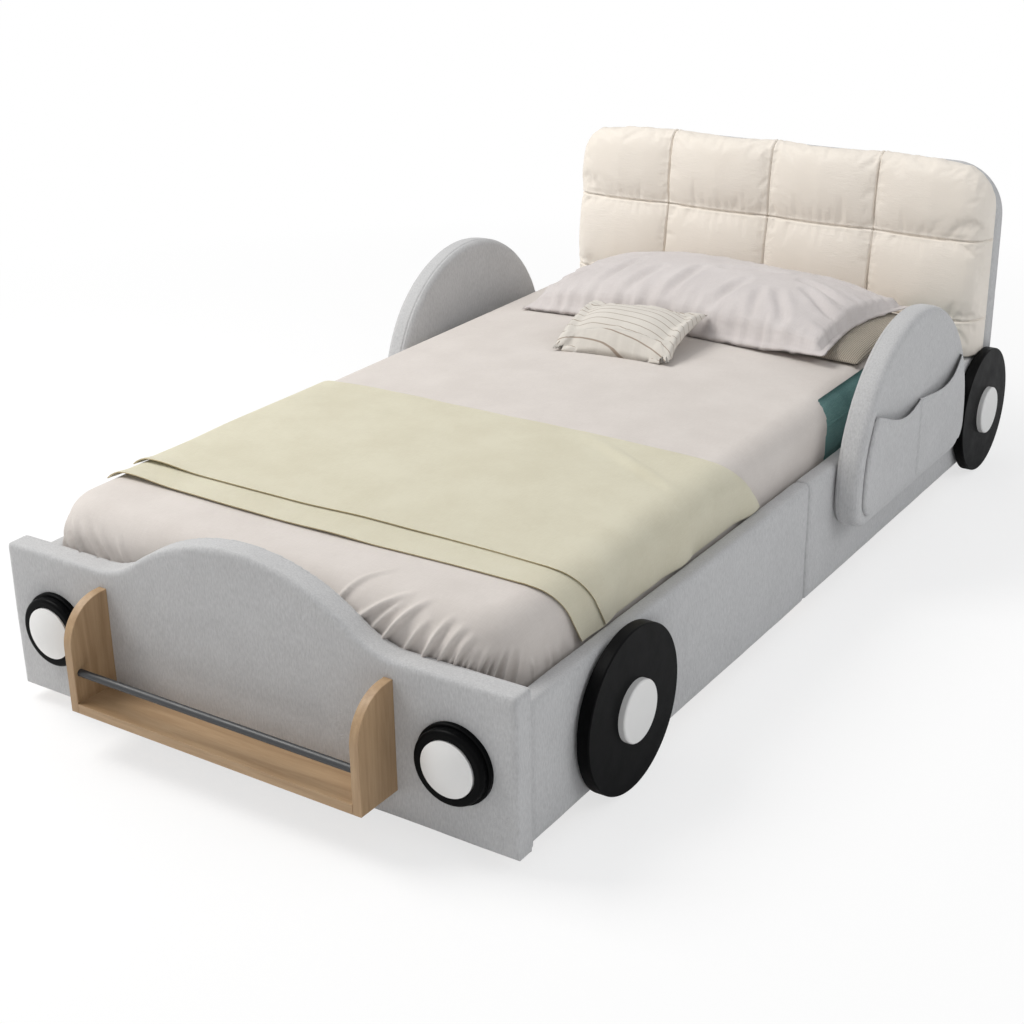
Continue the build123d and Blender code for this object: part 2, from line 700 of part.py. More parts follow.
# Slats and what carries them
def slats():
    half = RAIL_IN - SLAT_END_GAP
    first = RAIL_Y + SLAT_FIRST
    last = HEAD_Y - PAD_REACH - SLAT_FIRST - SLAT_WIDTH
    pitch = (last - first) / (SLAT_COUNT - 1)
    starts = [first + row * pitch for row in range(SLAT_COUNT)]
    rows = [block(-half, half, y, y + SLAT_WIDTH, SLAT_Z, SLAT_Z + SLAT_THICK) for y in starts]
    return Compound(children=[Part() + row for row in rows])


def ledger():
    y0 = RAIL_Y + LEDGER_END_GAP
    y1 = HEAD_Y - LEDGER_END_GAP
    return block(RAIL_IN - LEDGER_SIZE, RAIL_IN, y0, y1, SLAT_Z - LEDGER_SIZE, SLAT_Z)


def centre_beam():
    half = BEAM_WIDTH / 2
    return block(-half, half, RAIL_Y, HEAD_Y, SLAT_Z - BEAM_HEIGHT, SLAT_Z)


def centre_legs():
    half = BEAM_LEG_WIDTH / 2
    pitch = RAIL_SPAN / (BEAM_LEG_COUNT + 1)
    centres = [RAIL_Y + (row + 1) * pitch for row in range(BEAM_LEG_COUNT)]
    legs = [block(-half, half, y - half, y + half, 0, SLAT_Z - BEAM_HEIGHT) for y in centres]
    return Compound(children=[Part() + leg for leg in legs])


def leg(y0, y1):
    """A right hand leg inside the rail, drilled for its bolts."""
    return drill(block(RAIL_IN - LEG_SIZE, RAIL_IN, y0, y1, 0, BASE_Z + LEG_TOP), leg_bolts())


# Mattress and fitted sheet: the same crowned body, one skin apart
def bed_profile(half, bottom, top, crown, edge):
    """A (span, z) profile with a flat bottom, upright sides, round shoulders and a crowned top."""
    path = Line((-half, bottom), (half, bottom)) + Line((half, bottom), (half, top - crown - edge))
    lean = math.sin(math.radians(45)) * edge
    turn = (half - edge + lean, top - crown - edge + lean)
    path += ThreePointArc((half, top - crown - edge), turn, (half - edge, top - crown))
    path += ThreePointArc((half - edge, top - crown), (0, top), (edge - half, top - crown))
    path += ThreePointArc((edge - half, top - crown), (-turn[0], turn[1]), (-half, top - crown - edge))
    path += Line((-half, top - crown - edge), (-half, bottom))
    return make_face(path)


def bed_body(skin, bottom):
    """The mattress shape, grown by a skin on every side but the bottom."""
    half = MATTRESS_WIDTH / 2 + skin
    length = MATTRESS_LENGTH / 2 + skin
    top = MATTRESS_TOP + skin
    middle = MATTRESS_Y + MATTRESS_LENGTH / 2
    edge = MATTRESS_EDGE + skin
    front = middle - length - edge
    rear = middle + length + edge
    across = slab_y(bed_profile(half, bottom, top, MATTRESS_CROWN, edge), front, rear)
    along = slab_x(bed_profile(length, bottom, top, MATTRESS_CROWN, edge), -half - edge, half + edge)
    along = Pos(0, middle, 0) * along
    plan = Pos(0, middle) * RectangleRounded(2 * half, 2 * length, MATTRESS_CORNER + skin)
    return across & along & slab_z(plan, bottom, top)


def mattress():
    return bed_body(0, MATTRESS_Z)


def fitted_sheet():
    return bed_body(SHEET_THICK, MATTRESS_Z + SHEET_HEM_RISE) - bed_body(0, MATTRESS_Z)


# Throw blanket: two layers over the top, the right side hanging down inside the rail
def width_profile(skin):
    """The mattress seen from the foot, grown by a skin."""
    half = MATTRESS_WIDTH / 2 + skin
    top = MATTRESS_TOP + skin
    return bed_profile(half, MATTRESS_Z, top, MATTRESS_CROWN, MATTRESS_EDGE + skin)


def hem_cut(side, drop):
    """What is cut away below a hem on one side of the bed."""
    below = Rectangle(MATTRESS_WIDTH, 2 * MATTRESS_HEIGHT, align=(Align.CENTER, Align.MAX))
    return Pos(side * MATTRESS_WIDTH / 2, MATTRESS_TOP - MATTRESS_CROWN - drop) * below


def blanket_shell(lift, thick):
    """The (x, z) band of one layer, from its left hem over the top to its right hem."""
    skin = SHEET_THICK + lift
    band = width_profile(skin + thick) - width_profile(skin)
    return band - hem_cut(-1, BLANKET_LEFT_DROP) - hem_cut(1, BLANKET_RIGHT_DROP)


def blanket_side(start):
    """The (y, z) outline that a layer shows from the side, its hanging part slanting back."""
    edge_z = MATTRESS_TOP - MATTRESS_CROWN
    hem_z = edge_z - BLANKET_RIGHT_DROP
    high = MATTRESS_TOP + MATTRESS_EDGE
    front = FACE_Y + start
    rear = FACE_Y + BLANKET_REAR
    corners = [(front, high), (front, edge_z), (front + BLANKET_FRONT_SLANT, hem_z)]
    corners += [(rear + BLANKET_REAR_SLANT, hem_z), (rear, edge_z), (rear, high)]
    return make_face(Polyline(*corners, close=True))


def throw_blanket():
    wide = MATTRESS_WIDTH
    far = FACE_Y + BLANKET_REAR + BLANKET_REAR_SLANT
    layers = []
    for level, start in ((0, BLANKET_FRONT), (1, BLANKET_FRONT + BLANKET_STEP)):
        lift = BLANKET_LIFT + level * BLANKET_LAYER_THICK
        band = slab_y(blanket_shell(lift, BLANKET_LAYER_THICK), FACE_Y + start, far)
        layers.append(band & slab_x(blanket_side(start), -wide, wide))
    return layers[0] + layers[1]


# Pillows: each section has a thin sewn edge, full shoulders and a crowned top
def pillow_section(x, half_width, thick, edge):
    """One (y, z) section on a flat base."""
    rise = thick - edge
    shoulder = (half_width * PILLOW_SHOULDER, edge + rise * PILLOW_FULLNESS)
    turn = ((half_width + shoulder[0]) / 2, edge + rise * PILLOW_FULLNESS * PILLOW_TURN_RISE)
    rear = ThreePointArc((x, half_width, edge), (x, *turn), (x, *shoulder))
    top = ThreePointArc((x, *shoulder), (x, 0, thick), (x, -shoulder[0], shoulder[1]))
    front = ThreePointArc((x, -shoulder[0], shoulder[1]), (x, -turn[0], turn[1]), (x, -half_width, edge))
    edges = [Line((x, -half_width, 0), (x, half_width, 0))]
    edges.append(Line((x, half_width, 0), (x, half_width, edge)))
    edges += [rear, top, front, Line((x, -half_width, edge), (x, -half_width, 0))]
    return Wire(edges)


def pillow_body(length, width, thick, skin=0.0, lift=0.0):
    """A pillow lying on z = 0, grown by a skin on its top and sides, its +X end lifted."""
    sections = []
    for share in (-1, -0.93, -0.75, -0.45, 0, 0.45, 0.75, 0.93, 1):
        fullness = (1 - abs(share) ** 3.2) ** 0.75
        drawn = 1 - PILLOW_DRAW_IN * (1 - share**2)
        half_width = width / 2 * drawn + skin
        tall = PILLOW_EDGE + PILLOW_END_RISE + (thick - PILLOW_EDGE - PILLOW_END_RISE) * fullness
        place = share * (length / 2 + skin)
        base = lift * max(0, share - PILLOW_RAMP) / (1 - PILLOW_RAMP)
        tall = max(tall - base * PILLOW_SQUASH, PILLOW_EDGE + PILLOW_END_RISE)
        section = pillow_section(place, half_width, tall + skin, PILLOW_EDGE + skin)
        sections.append(section.moved(Location((0, 0, base))))
    return Solid.make_loft(sections)


def pillow_low():
    """Height of a pillow's base before it is cut to lie on the crowned sheet."""
    return SHEET_TOP - MATTRESS_CROWN


def under_pillows():
    """What every pillow is cut by: the sheeted mattress and the gap over it."""
    return bed_body(SHEET_THICK + REST_GAP, MATTRESS_Z)


def ribbed_solid(skin):
    place = Pos(RIBBED_X, RIBBED_Y, pillow_low())
    return place * pillow_body(RIBBED_LENGTH, RIBBED_WIDTH, RIBBED_THICK, skin)


def pillow_ribbed():
    return ribbed_solid(0) - under_pillows()


def pillow_solid(skin):
    place = Pos(PILLOW_X, PILLOW_Y, pillow_low()) * Rot(0, 0, PILLOW_TURN)
    return place * pillow_body(PILLOW_LENGTH, PILLOW_WIDTH, PILLOW_THICK, skin, PILLOW_LIFT)


def pillow_main():
    """The main pillow, hollowed underneath where it lies on the ribbed one."""
    return pillow_solid(0) - ribbed_solid(SOFT_GAP) - under_pillows()


def striped_cushion():
    """The small cushion, its front edge on the sheet and its back edge on the main pillow."""
    lift = CUSHION_WIDTH / 2 * math.sin(math.radians(CUSHION_TILT))
    place = Pos(CUSHION_X, CUSHION_Y, pillow_low() + lift)
    place = place * Rot(0, 0, CUSHION_TURN) * Rot(CUSHION_TILT, 0, 0)
    body = place * pillow_body(CUSHION_LENGTH, CUSHION_WIDTH, CUSHION_THICK)
    return body - under_pillows() - pillow_solid(SOFT_GAP)


# Every node by its name
def all_nodes():
    nodes = {"footboard_core": footboard_core(), "footboard_cover": footboard_cover()}
    right = {}
    for end in ("front", "rear"):
        right[f"rail_{end}", "core"] = rail_core(end)
        right[f"rail_{end}", "cover"] = rail_cover(end)
        right[f"wheel_{end}", ""] = wheel(end)
        right[f"hub_cap_{end}", ""] = hub_cap(end)
    right["guard", "core"] = guard_core()
    right["guard", "cover"] = guard_cover()
    right["guard", "pockets"] = guard_pockets()
    right["lamp_ring", ""] = lamp_ring()
    right["lamp_disc", ""] = lamp_disc()
    right["shelf_side", ""] = shelf_side()
    right["ledger", ""] = ledger()
    right["corner_leg_front", ""] = leg(RAIL_Y, RAIL_Y + LEG_SIZE)
    right["corner_leg_rear", ""] = leg(HEAD_Y - LEG_SIZE, HEAD_Y)
    right["middle_leg", ""] = leg(SEAM_Y - MID_LEG_LENGTH / 2, SEAM_Y + MID_LEG_LENGTH / 2)
    for (name, kind), piece in right.items():
        tail = f"_{kind}" if kind else ""
        nodes[f"{name}_right{tail}"] = piece
        nodes[f"{name}_left{tail}"] = left_of(piece)
    nodes["headboard_core"] = headboard_core()
    nodes["headboard_cover"] = headboard_cover()
    nodes["pad_board"] = pad_board()
    nodes["headboard_pad"] = headboard_pad()
    nodes["wheel_spacers"] = wheel_spacers()
    nodes["wheel_screws"] = wheel_screws()
    nodes["shelf_board"] = shelf_board()
    nodes["shelf_rod"] = rod_body()
    nodes["shelf_bolts"] = bolt_set(shelf_bolts())
    nodes["frame_bolts"] = bolt_set(leg_bolts())
    nodes["guard_bolts"] = bolt_set(guard_bolts())
    nodes["slats"] = slats()
    nodes["centre_beam"] = centre_beam()
    nodes["centre_legs"] = centre_legs()
    nodes["mattress"] = mattress()
    nodes["fitted_sheet"] = fitted_sheet()
    nodes["throw_blanket"] = throw_blanket()
    nodes["pillow_ribbed"] = pillow_ribbed()
    nodes["pillow_main"] = pillow_main()
    nodes["striped_cushion"] = striped_cushion()
    return nodes


for node, shape in all_nodes().items():
    export_step(shape, f"parts/{node}.step")
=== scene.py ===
import json
import math

import bmesh
import bpy
from mathutils import Matrix, Vector, noise
from mathutils.bvhtree import BVHTree


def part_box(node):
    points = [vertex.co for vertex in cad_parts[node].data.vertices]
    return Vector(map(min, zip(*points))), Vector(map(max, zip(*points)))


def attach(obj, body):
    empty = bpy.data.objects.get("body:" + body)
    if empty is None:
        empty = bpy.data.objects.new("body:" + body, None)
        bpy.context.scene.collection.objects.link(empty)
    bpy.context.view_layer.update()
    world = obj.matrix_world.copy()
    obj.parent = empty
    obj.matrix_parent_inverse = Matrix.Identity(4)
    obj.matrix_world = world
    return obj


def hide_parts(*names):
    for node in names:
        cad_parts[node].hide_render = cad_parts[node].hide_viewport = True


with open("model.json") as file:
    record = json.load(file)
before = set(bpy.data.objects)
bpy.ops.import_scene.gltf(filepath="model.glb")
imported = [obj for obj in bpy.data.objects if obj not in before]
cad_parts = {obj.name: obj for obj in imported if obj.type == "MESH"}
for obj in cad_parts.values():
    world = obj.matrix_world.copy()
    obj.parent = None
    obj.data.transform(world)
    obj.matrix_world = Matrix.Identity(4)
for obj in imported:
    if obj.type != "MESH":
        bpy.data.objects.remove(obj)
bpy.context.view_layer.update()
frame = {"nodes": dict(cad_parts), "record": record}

nodes = frame["nodes"]


# The studio: a pale floor, two large soft lamps, a pale surround and the camera.
# The camera stands at the foot end, to the right, at an adult's eye height, and looks down.
floor_size = 60.0
surround_colour = (0.93, 0.94, 0.96, 1.0)
camera_place = (1.79057, -2.91591, 1.58065)
camera_turn = (33.58, 23.149, -0.913)
lens_length = 60.762
sensor_width = 36.0
surround_strength = 0.46

camera = bpy.data.objects.new("camera", bpy.data.cameras.new("camera"))
bpy.context.scene.collection.objects.link(camera)
yaw, pitch, roll = (math.radians(angle) for angle in camera_turn)
camera.matrix_world = (
    Matrix.Translation(camera_place)
    @ Matrix.Rotation(yaw, 4, "Z")
    @ Matrix.Rotation(math.pi / 2 - pitch, 4, "X")
    @ Matrix.Rotation(roll, 4, "Z")
)
camera.data.sensor_width = sensor_width
camera.data.lens = lens_length
bpy.context.scene.camera = camera
bpy.context.scene.view_settings.view_transform = "Standard"


def add_node(tree, kind, inputs=None, **settings):
    """Add a shader node, set its options, and set or link its inputs by name or number."""
    made = tree.nodes.new("ShaderNode" + kind)
    for name, value in settings.items():
        setattr(made, name, value)
    for name, value in (inputs or {}).items():
        if isinstance(value, bpy.types.NodeSocket):
            tree.links.new(value, made.inputs[name])
        else:
            made.inputs[name].default_value = value
    return made


def maths(tree, operation, *values):
    """Add an arithmetic node that works on one or two values."""
    return add_node(tree, "Math", dict(enumerate(values)), operation=operation)


def soft_lamp(name, place, aim, width, height, power, colour):
    lamp = bpy.data.lights.new(name, "AREA")
    lamp.shape = "RECTANGLE"
    lamp.size = width
    lamp.size_y = height
    lamp.energy = power
    lamp.color = colour
    holder = bpy.data.objects.new(name, lamp)
    bpy.context.scene.collection.objects.link(holder)
    holder.location = place
    direction = Vector(aim) - Vector(place)
    holder.rotation_euler = direction.to_track_quat("-Z", "Y").to_euler()


soft_lamp("key_lamp", (-2.4, -1.35, 3.9), (0, 0, 0.3), 2.4, 2.4, 158, (1.0, 0.985, 0.96))
soft_lamp("fill_lamp", (3.6, 0.6, 2.6), (0, 0.2, 0.3), 2.4, 2.0, 33, (0.97, 0.985, 1.0))

world = bpy.data.worlds.new("surround")
bpy.context.scene.world = world
world.use_nodes = True
world.node_tree.nodes.clear()
path = add_node(world.node_tree, "LightPath")
seen = maths(world.node_tree, "MAXIMUM", path.outputs["Is Camera Ray"], path.outputs["Is Glossy Ray"])
seen = maths(world.node_tree, "MAXIMUM", seen.outputs[0], path.outputs["Is Transmission Ray"])
dim = add_node(world.node_tree, "Background", {"Color": surround_colour, "Strength": surround_strength})
white = add_node(world.node_tree, "Background", {"Color": (1, 1, 1, 1), "Strength": 1.0})
mixed = add_node(world.node_tree, "MixShader", {0: seen.outputs[0], 1: dim.outputs[0], 2: white.outputs[0]})
add_node(world.node_tree, "OutputWorld", {"Surface": mixed.outputs[0]})


def new_material(name):
    """A material holding one Principled shader, ready for its nodes."""
    made = bpy.data.materials.new(name)
    made.use_nodes = True
    made.node_tree.nodes.clear()
    shader = add_node(made.node_tree, "BsdfPrincipled")
    add_node(made.node_tree, "OutputMaterial", {"Surface": shader.outputs[0]})
    return made, made.node_tree, shader


def put_in_scene(shape, name):
    """Turn a finished bmesh into a piece with its place in its mesh."""
    mesh = bpy.data.meshes.new(name)
    shape.to_mesh(mesh)
    shape.free()
    piece = bpy.data.objects.new(name, mesh)
    bpy.context.scene.collection.objects.link(piece)
    return piece


shape = bmesh.new()
bmesh.ops.create_grid(shape, x_segments=1, y_segments=1, size=floor_size / 2)
floor = put_in_scene(shape, "studio_floor")
floor_material, tree, shader = new_material("studio_floor")
grain = add_node(tree, "TexNoise", {"Scale": 3.0, "Detail": 4.0})
tint = add_node(tree, "MapRange", {"Value": grain.outputs["Fac"], "To Min": 0.97, "To Max": 1.0})
shade = add_node(tree, "CombineColor", {0: tint.outputs[0], 1: tint.outputs[0], 2: tint.outputs[0]})
tree.links.new(shade.outputs[0], shader.inputs["Base Color"])
shader.inputs["Roughness"].default_value = 0.9
shader.inputs["Specular IOR Level"].default_value = 0.1
place = add_node(tree, "TexCoord")
reach = add_node(tree, "VectorMath", {0: place.outputs["Object"]}, operation="LENGTH")
away = add_node(
    tree, "MapRange",
    {"Value": reach.outputs["Value"], "From Min": 1.2, "From Max": 3.2, "To Min": 0.7, "To Max": 1.0},
)
path = add_node(tree, "LightPath")
share = maths(tree, "MULTIPLY", away.outputs[0], path.outputs["Is Camera Ray"])
glow = add_node(tree, "Emission", {"Color": (1, 1, 1, 1), "Strength": 1.0})
both = add_node(tree, "MixShader", {0: share.outputs[0], 1: shader.outputs[0], 2: glow.outputs[0]})
tree.links.new(both.outputs[0], tree.get_output_node("ALL").inputs["Surface"])
floor.data.materials.append(floor_material)


# The frame inside: plywood boards, pine legs, ledgers, beam and slats, held by steel bolts.
# The boards are hidden in their covers, and the pine parts show when the mattress is lifted.
pine_pale = (0.66, 0.47, 0.27, 1.0)
pine_dark = (0.50, 0.32, 0.16, 1.0)
steel_colour = (0.42, 0.42, 0.44, 1.0)


def new_group(name, takes, gives):
    """An empty shader node group with its sockets, and its two end nodes."""
    group = bpy.data.node_groups.new(name, "ShaderNodeTree")
    for label, kind in takes:
        group.interface.new_socket(label, in_out="INPUT", socket_type=kind)
    for label, kind in gives:
        group.interface.new_socket(label, in_out="OUTPUT", socket_type=kind)
    return group, group.nodes.new("NodeGroupInput"), group.nodes.new("NodeGroupOutput")


wood_grain, taken, given = new_group(
    "wood_grain",
    (("Vector", "NodeSocketVector"), ("Figure Size", "NodeSocketFloat")),
    (("Figure", "NodeSocketFloat"), ("Pores", "NodeSocketFloat")),
)
drawn = add_node(wood_grain, "Mapping", {"Vector": taken.outputs[0], "Scale": (1, 1, 0.07)})
rings = add_node(
    wood_grain, "TexNoise",
    {"Vector": drawn.outputs[0], "Scale": taken.outputs[1], "Detail": 5.0, "Distortion": 0.8},
)
fine = add_node(wood_grain, "Mapping", {"Vector": taken.outputs[0], "Scale": (1, 1, 0.03)})
pores = add_node(wood_grain, "TexNoise", {"Vector": fine.outputs[0], "Scale": 900.0, "Detail": 2.0})
mix = maths(wood_grain, "MULTIPLY", pores.outputs["Fac"], 0.35)
total = maths(wood_grain, "ADD", rings.outputs["Fac"], mix.outputs[0])
sharp = add_node(wood_grain, "MapRange", {"Value": total.outputs[0], "From Min": 0.48, "From Max": 0.88})
wood_grain.links.new(sharp.outputs[0], given.inputs["Figure"])
wood_grain.links.new(pores.outputs["Fac"], given.inputs["Pores"])


def colour_between(tree, factor, first, second):
    """A colour mixed between two by a factor."""
    return add_node(tree, "Mix", {0: factor, 6: first, 7: second}, data_type="RGBA").outputs[2]


def add_relief(tree, shader, height, depth, normal=None):
    """Feed a height in metres into the shader's normal."""
    inputs = {"Height": height, "Distance": depth, "Strength": 1.0}
    if normal is not None:
        inputs["Normal"] = normal
    relief = add_node(tree, "Bump", inputs)
    tree.links.new(relief.outputs[0], shader.inputs["Normal"])
    return relief.outputs[0]


def wood(name, pale, dark, turn, figure_size, roughness):
    """Wood with its grain along the axis that the turn brings to Z."""
    made, tree, shader = new_material(name)
    place = add_node(tree, "TexCoord")
    turned = add_node(tree, "Mapping", {"Vector": place.outputs["Object"], "Rotation": turn})
    grain = add_node(
        tree, "Group", {"Vector": turned.outputs[0], "Figure Size": figure_size}, node_tree=wood_grain,
    )
    tree.links.new(colour_between(tree, grain.outputs["Figure"], pale, dark), shader.inputs["Base Color"])
    rough = add_node(
        tree, "MapRange",
        {"Value": grain.outputs["Pores"], "To Min": roughness - 0.08, "To Max": roughness + 0.1},
    )
    tree.links.new(rough.outputs[0], shader.inputs["Roughness"])
    add_relief(tree, shader, grain.outputs["Pores"], 0.0003)
    return made


pine_upright = wood("pine_upright", pine_pale, pine_dark, (0, 0, 0), 38.0, 0.6)
pine_across = wood("pine_across", pine_pale, pine_dark, (0, math.pi / 2, 0), 38.0, 0.6)
pine_along = wood("pine_along", pine_pale, pine_dark, (math.pi / 2, 0, 0), 38.0, 0.6)
steel, tree, shader = new_material("zinc_steel")
place = add_node(tree, "TexCoord")
spangle = add_node(tree, "TexNoise", {"Vector": place.outputs["Object"], "Scale": 600.0, "Detail": 3.0})
rough = add_node(tree, "MapRange", {"Value": spangle.outputs["Fac"], "To Min": 0.25, "To Max": 0.5})
tree.links.new(
    colour_between(tree, spangle.outputs["Fac"], steel_colour, (0.55, 0.55, 0.56, 1)),
    shader.inputs["Base Color"],
)
tree.links.new(rough.outputs[0], shader.inputs["Roughness"])
shader.inputs["Metallic"].default_value = 1.0
slots = {row["node"]: row["material_slot"] for row in frame["record"]["subparts"]}
for name, piece in nodes.items():
    piece.data.materials.clear()
    if slots[name] == "steel":
        piece.data.materials.append(steel)
    elif slots[name] == "board":
        piece.data.materials.append(pine_across)
    elif slots[name] == "frame_wood":
        spans = [piece.dimensions[axis] for axis in range(3)]
        piece.data.materials.append((pine_across, pine_along, pine_upright)[spans.index(max(spans))])


# The upholstered panels: plywood boards wrapped in foam and grey velvet.
# Foot board, four side rails and head board; the velvet is stapled behind and sewn at the back edge.
velvet_pale = (0.60, 0.60, 0.602, 1.0)
velvet_dark = (0.475, 0.475, 0.478, 1.0)
panel_voxel = 0.005
foot_rear = -0.997375

velvet, tree, shader = new_material("grey_velvet")
place = add_node(tree, "TexCoord")
upright = add_node(tree, "Mapping", {"Vector": place.outputs["Object"], "Scale": (1, 1, 0.3)})
streaks = add_node(
    tree, "TexNoise", {"Vector": upright.outputs[0], "Scale": 340.0, "Detail": 3.0, "Roughness": 0.6},
)
patches = add_node(
    tree, "TexNoise", {"Vector": place.outputs["Object"], "Scale": 14.0, "Detail": 4.0, "Roughness": 0.6},
)
fibres = add_node(tree, "TexNoise", {"Vector": place.outputs["Object"], "Scale": 1500.0, "Detail": 2.0})
soft = maths(tree, "MULTIPLY", patches.outputs["Fac"], 0.35)
tone = maths(tree, "ADD", streaks.outputs["Fac"], soft.outputs[0])
tone = add_node(tree, "MapRange", {"Value": tone.outputs[0], "From Min": 0.46, "From Max": 0.89})
tree.links.new(colour_between(tree, tone.outputs[0], velvet_dark, velvet_pale), shader.inputs["Base Color"])
rough = add_node(tree, "MapRange", {"Value": patches.outputs["Fac"], "To Min": 0.82, "To Max": 0.96})
tree.links.new(rough.outputs[0], shader.inputs["Roughness"])
shader.inputs["Specular IOR Level"].default_value = 0.2
shader.inputs["Sheen Weight"].default_value = 0.25
shader.inputs["Sheen Roughness"].default_value = 0.45
nap = maths(tree, "ADD", streaks.outputs["Fac"], fibres.outputs["Fac"])
slack = add_node(
    tree, "TexNoise", {"Vector": place.outputs["Object"], "Scale": 46.0, "Detail": 2.0, "Distortion": 1.6},
)
bent = maths(tree, "SUBTRACT", slack.outputs["Fac"], 0.5)
bent = maths(tree, "ABSOLUTE", bent.outputs[0])
crease = add_node(
    tree, "MapRange",
    {"Value": bent.outputs[0], "From Min": 0.0, "From Max": 0.035, "To Min": 0.0, "To Max": 1.0},
)
where = add_node(tree, "MapRange", {"Value": patches.outputs["Fac"], "From Min": 0.5, "From Max": 0.66})
worked = maths(tree, "MULTIPLY", crease.outputs[0], where.outputs[0])
first = add_node(tree, "Bump", {"Height": worked.outputs[0], "Distance": 0.0006, "Strength": 0.7})
add_relief(tree, shader, nap.outputs[0], 0.0005, first.outputs[0])


def cad_copy(name):
    """A merged copy of a CAD node's mesh."""
    shape = bmesh.new()
    shape.from_mesh(nodes[name].data)
    bmesh.ops.remove_doubles(shape, verts=shape.verts, dist=2e-5)
    return shape


def keep_widest(shape):
    """Delete every loose part but the widest."""
    left = set(shape.verts)
    parts = []
    while left:
        part = [left.pop()]
        for vert in part:
            for edge in vert.link_edges:
                other = edge.other_vert(vert)
                if other in left:
                    left.discard(other)
                    part.append(other)
        parts.append(part)
    widest = max(
        parts, key=lambda part: sum(max(v.co[i] for v in part) - min(v.co[i] for v in part) for i in range(3)),
    )
    spare = [vert for part in parts if part is not widest for vert in part]
    bmesh.ops.delete(shape, geom=spare, context="VERTS")


def everything(shape):
    return shape.verts[:] + shape.edges[:] + shape.faces[:]


def slab_from(name, axis, rounding, depth):
    """The node's outline, cut in its outer foam, filled, drawn out as one slab and rounded."""
    low, high = (Vector(corner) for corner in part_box(name))
    flat = Vector([float(i == axis) for i in range(3)])
    shape = cad_copy(name)
    bmesh.ops.bisect_plane(
        shape, geom=everything(shape), plane_co=low + flat * depth, plane_no=flat, clear_inner=True,
        clear_outer=True,
    )
    keep_widest(shape)
    bmesh.ops.remove_doubles(shape, verts=shape.verts, dist=2e-4)
    bmesh.ops.contextual_create(shape, geom=shape.edges[:])
    for vert in shape.verts:
        vert.co[axis] = low[axis]
    drawn = bmesh.ops.extrude_face_region(shape, geom=shape.faces[:])
    for item in drawn["geom"]:
        if isinstance(item, bmesh.types.BMVert):
            item.co[axis] = high[axis]
    bmesh.ops.recalc_face_normals(shape, faces=shape.faces[:])
    rims = [edge for edge in shape.edges if abs(edge.verts[0].co[axis] - edge.verts[1].co[axis]) < 1e-6]
    bmesh.ops.bevel(
        shape, geom=rims, offset=rounding, affect="EDGES", segments=4, profile=0.5, material=-1,
        clamp_overlap=False,
    )
    return shape


def bake(piece):
    """Apply the piece's modifiers to its mesh."""
    graph = bpy.context.evaluated_depsgraph_get()
    mesh = bpy.data.meshes.new_from_object(
        piece.evaluated_get(graph), preserve_all_data_layers=True, depsgraph=graph,
    )
    piece.modifiers.clear()
    piece.data = mesh


def even_out(piece, voxel, rounds=0):
    """Remesh a closed shape in even quads and smooth it."""
    step = piece.modifiers.new("even", "REMESH")
    step.mode = "VOXEL"
    step.voxel_size = voxel
    if rounds:
        soft = piece.modifiers.new("soft", "SMOOTH")
        soft.factor = 0.5
        soft.iterations = rounds
    bake(piece)


def reshape(piece, change):
    """Run a change on the piece's mesh as a bmesh, and shade it smooth."""
    shape = bmesh.new()
    shape.from_mesh(piece.data)
    shape.normal_update()
    change(shape)
    shape.to_mesh(piece.data)
    shape.free()
    piece.data.shade_smooth()


def press_seam(shape, place, across, width, depth, where=lambda spot: True):
    """Cut loops beside a seam's plane and press them in, the cloth a little proud on each side."""
    place, across = Vector(place), Vector(across).normalized()
    for step in (-2.2, -1.0, 0.0, 1.0, 2.2):
        near = [face for face in shape.faces if abs((face.calc_center_median() - place).dot(across)) < 0.03]
        near_edges = list({edge for face in near for edge in face.edges})
        near_verts = list({vert for face in near for vert in face.verts})
        bmesh.ops.bisect_plane(
            shape, geom=near_verts + near_edges + near, plane_co=place + across * width * step,
            plane_no=across, dist=2e-5,
        )
    shape.normal_update()
    moves = []
    for vert in shape.verts:
        off = (vert.co - place).dot(across) / width
        if abs(off) < 4 and where(vert.co):
            push = -depth * math.exp(-((off / 0.7) ** 2)) + 0.3 * depth * math.exp(-(((abs(off) - 2.2) / 0.9) ** 2))
            moves.append((vert, vert.normal * push))
    for vert, move in moves:
        vert.co += move


def ease(shape, amount):
    """Small uneven rises, as foam gives under stretched cloth."""
    for vert in shape.verts:
        lift = noise.noise(vert.co * 7) * amount + noise.noise(vert.co * 23 + Vector((4, 1, 7))) * amount * 0.4
        vert.co += vert.normal * lift


def upholster(name, axis, rounding, depth, seams=(), rounds=2):
    """A velvet panel made from a cover's outline, in place of that cover."""
    piece = put_in_scene(slab_from(name, axis, rounding, depth), name.replace("_cover", "_velvet"))
    even_out(piece, panel_voxel, rounds)

    def change(shape):
        ease(shape, 0.0008)
        for place, across in seams:
            press_seam(shape, place, across, 0.0016, 0.0014)

    reshape(piece, change)
    piece.data.materials.append(velvet)
    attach(piece, "bed")
    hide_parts(name)
    return piece


upholster("footboard_cover", 1, 0.004, 0.0095, [((0, foot_rear - 0.007, 0), (0, 1, 0))], 1)
for name in ("rail_front_left", "rail_front_right", "rail_rear_left", "rail_rear_right"):
    upholster(name + "_cover", 0, 0.011, 0.010)
low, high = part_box("headboard_cover")
upholster("headboard_cover", 1, 0.013, 0.0145, [((0, high[1] - 0.016, 0), (0, 1, 0))])


# The headboard pad: foam on its own plywood back, in cream leatherette.
# It is quilted in four columns and three rows, and the seams draw it in.
pad_cream = (0.87, 0.81, 0.735, 1.0)
pad_shade = (0.81, 0.745, 0.66, 1.0)
pad_columns = (-0.2764, 0.0, 0.2764)
pad_rows = (0.3795, 0.5663)

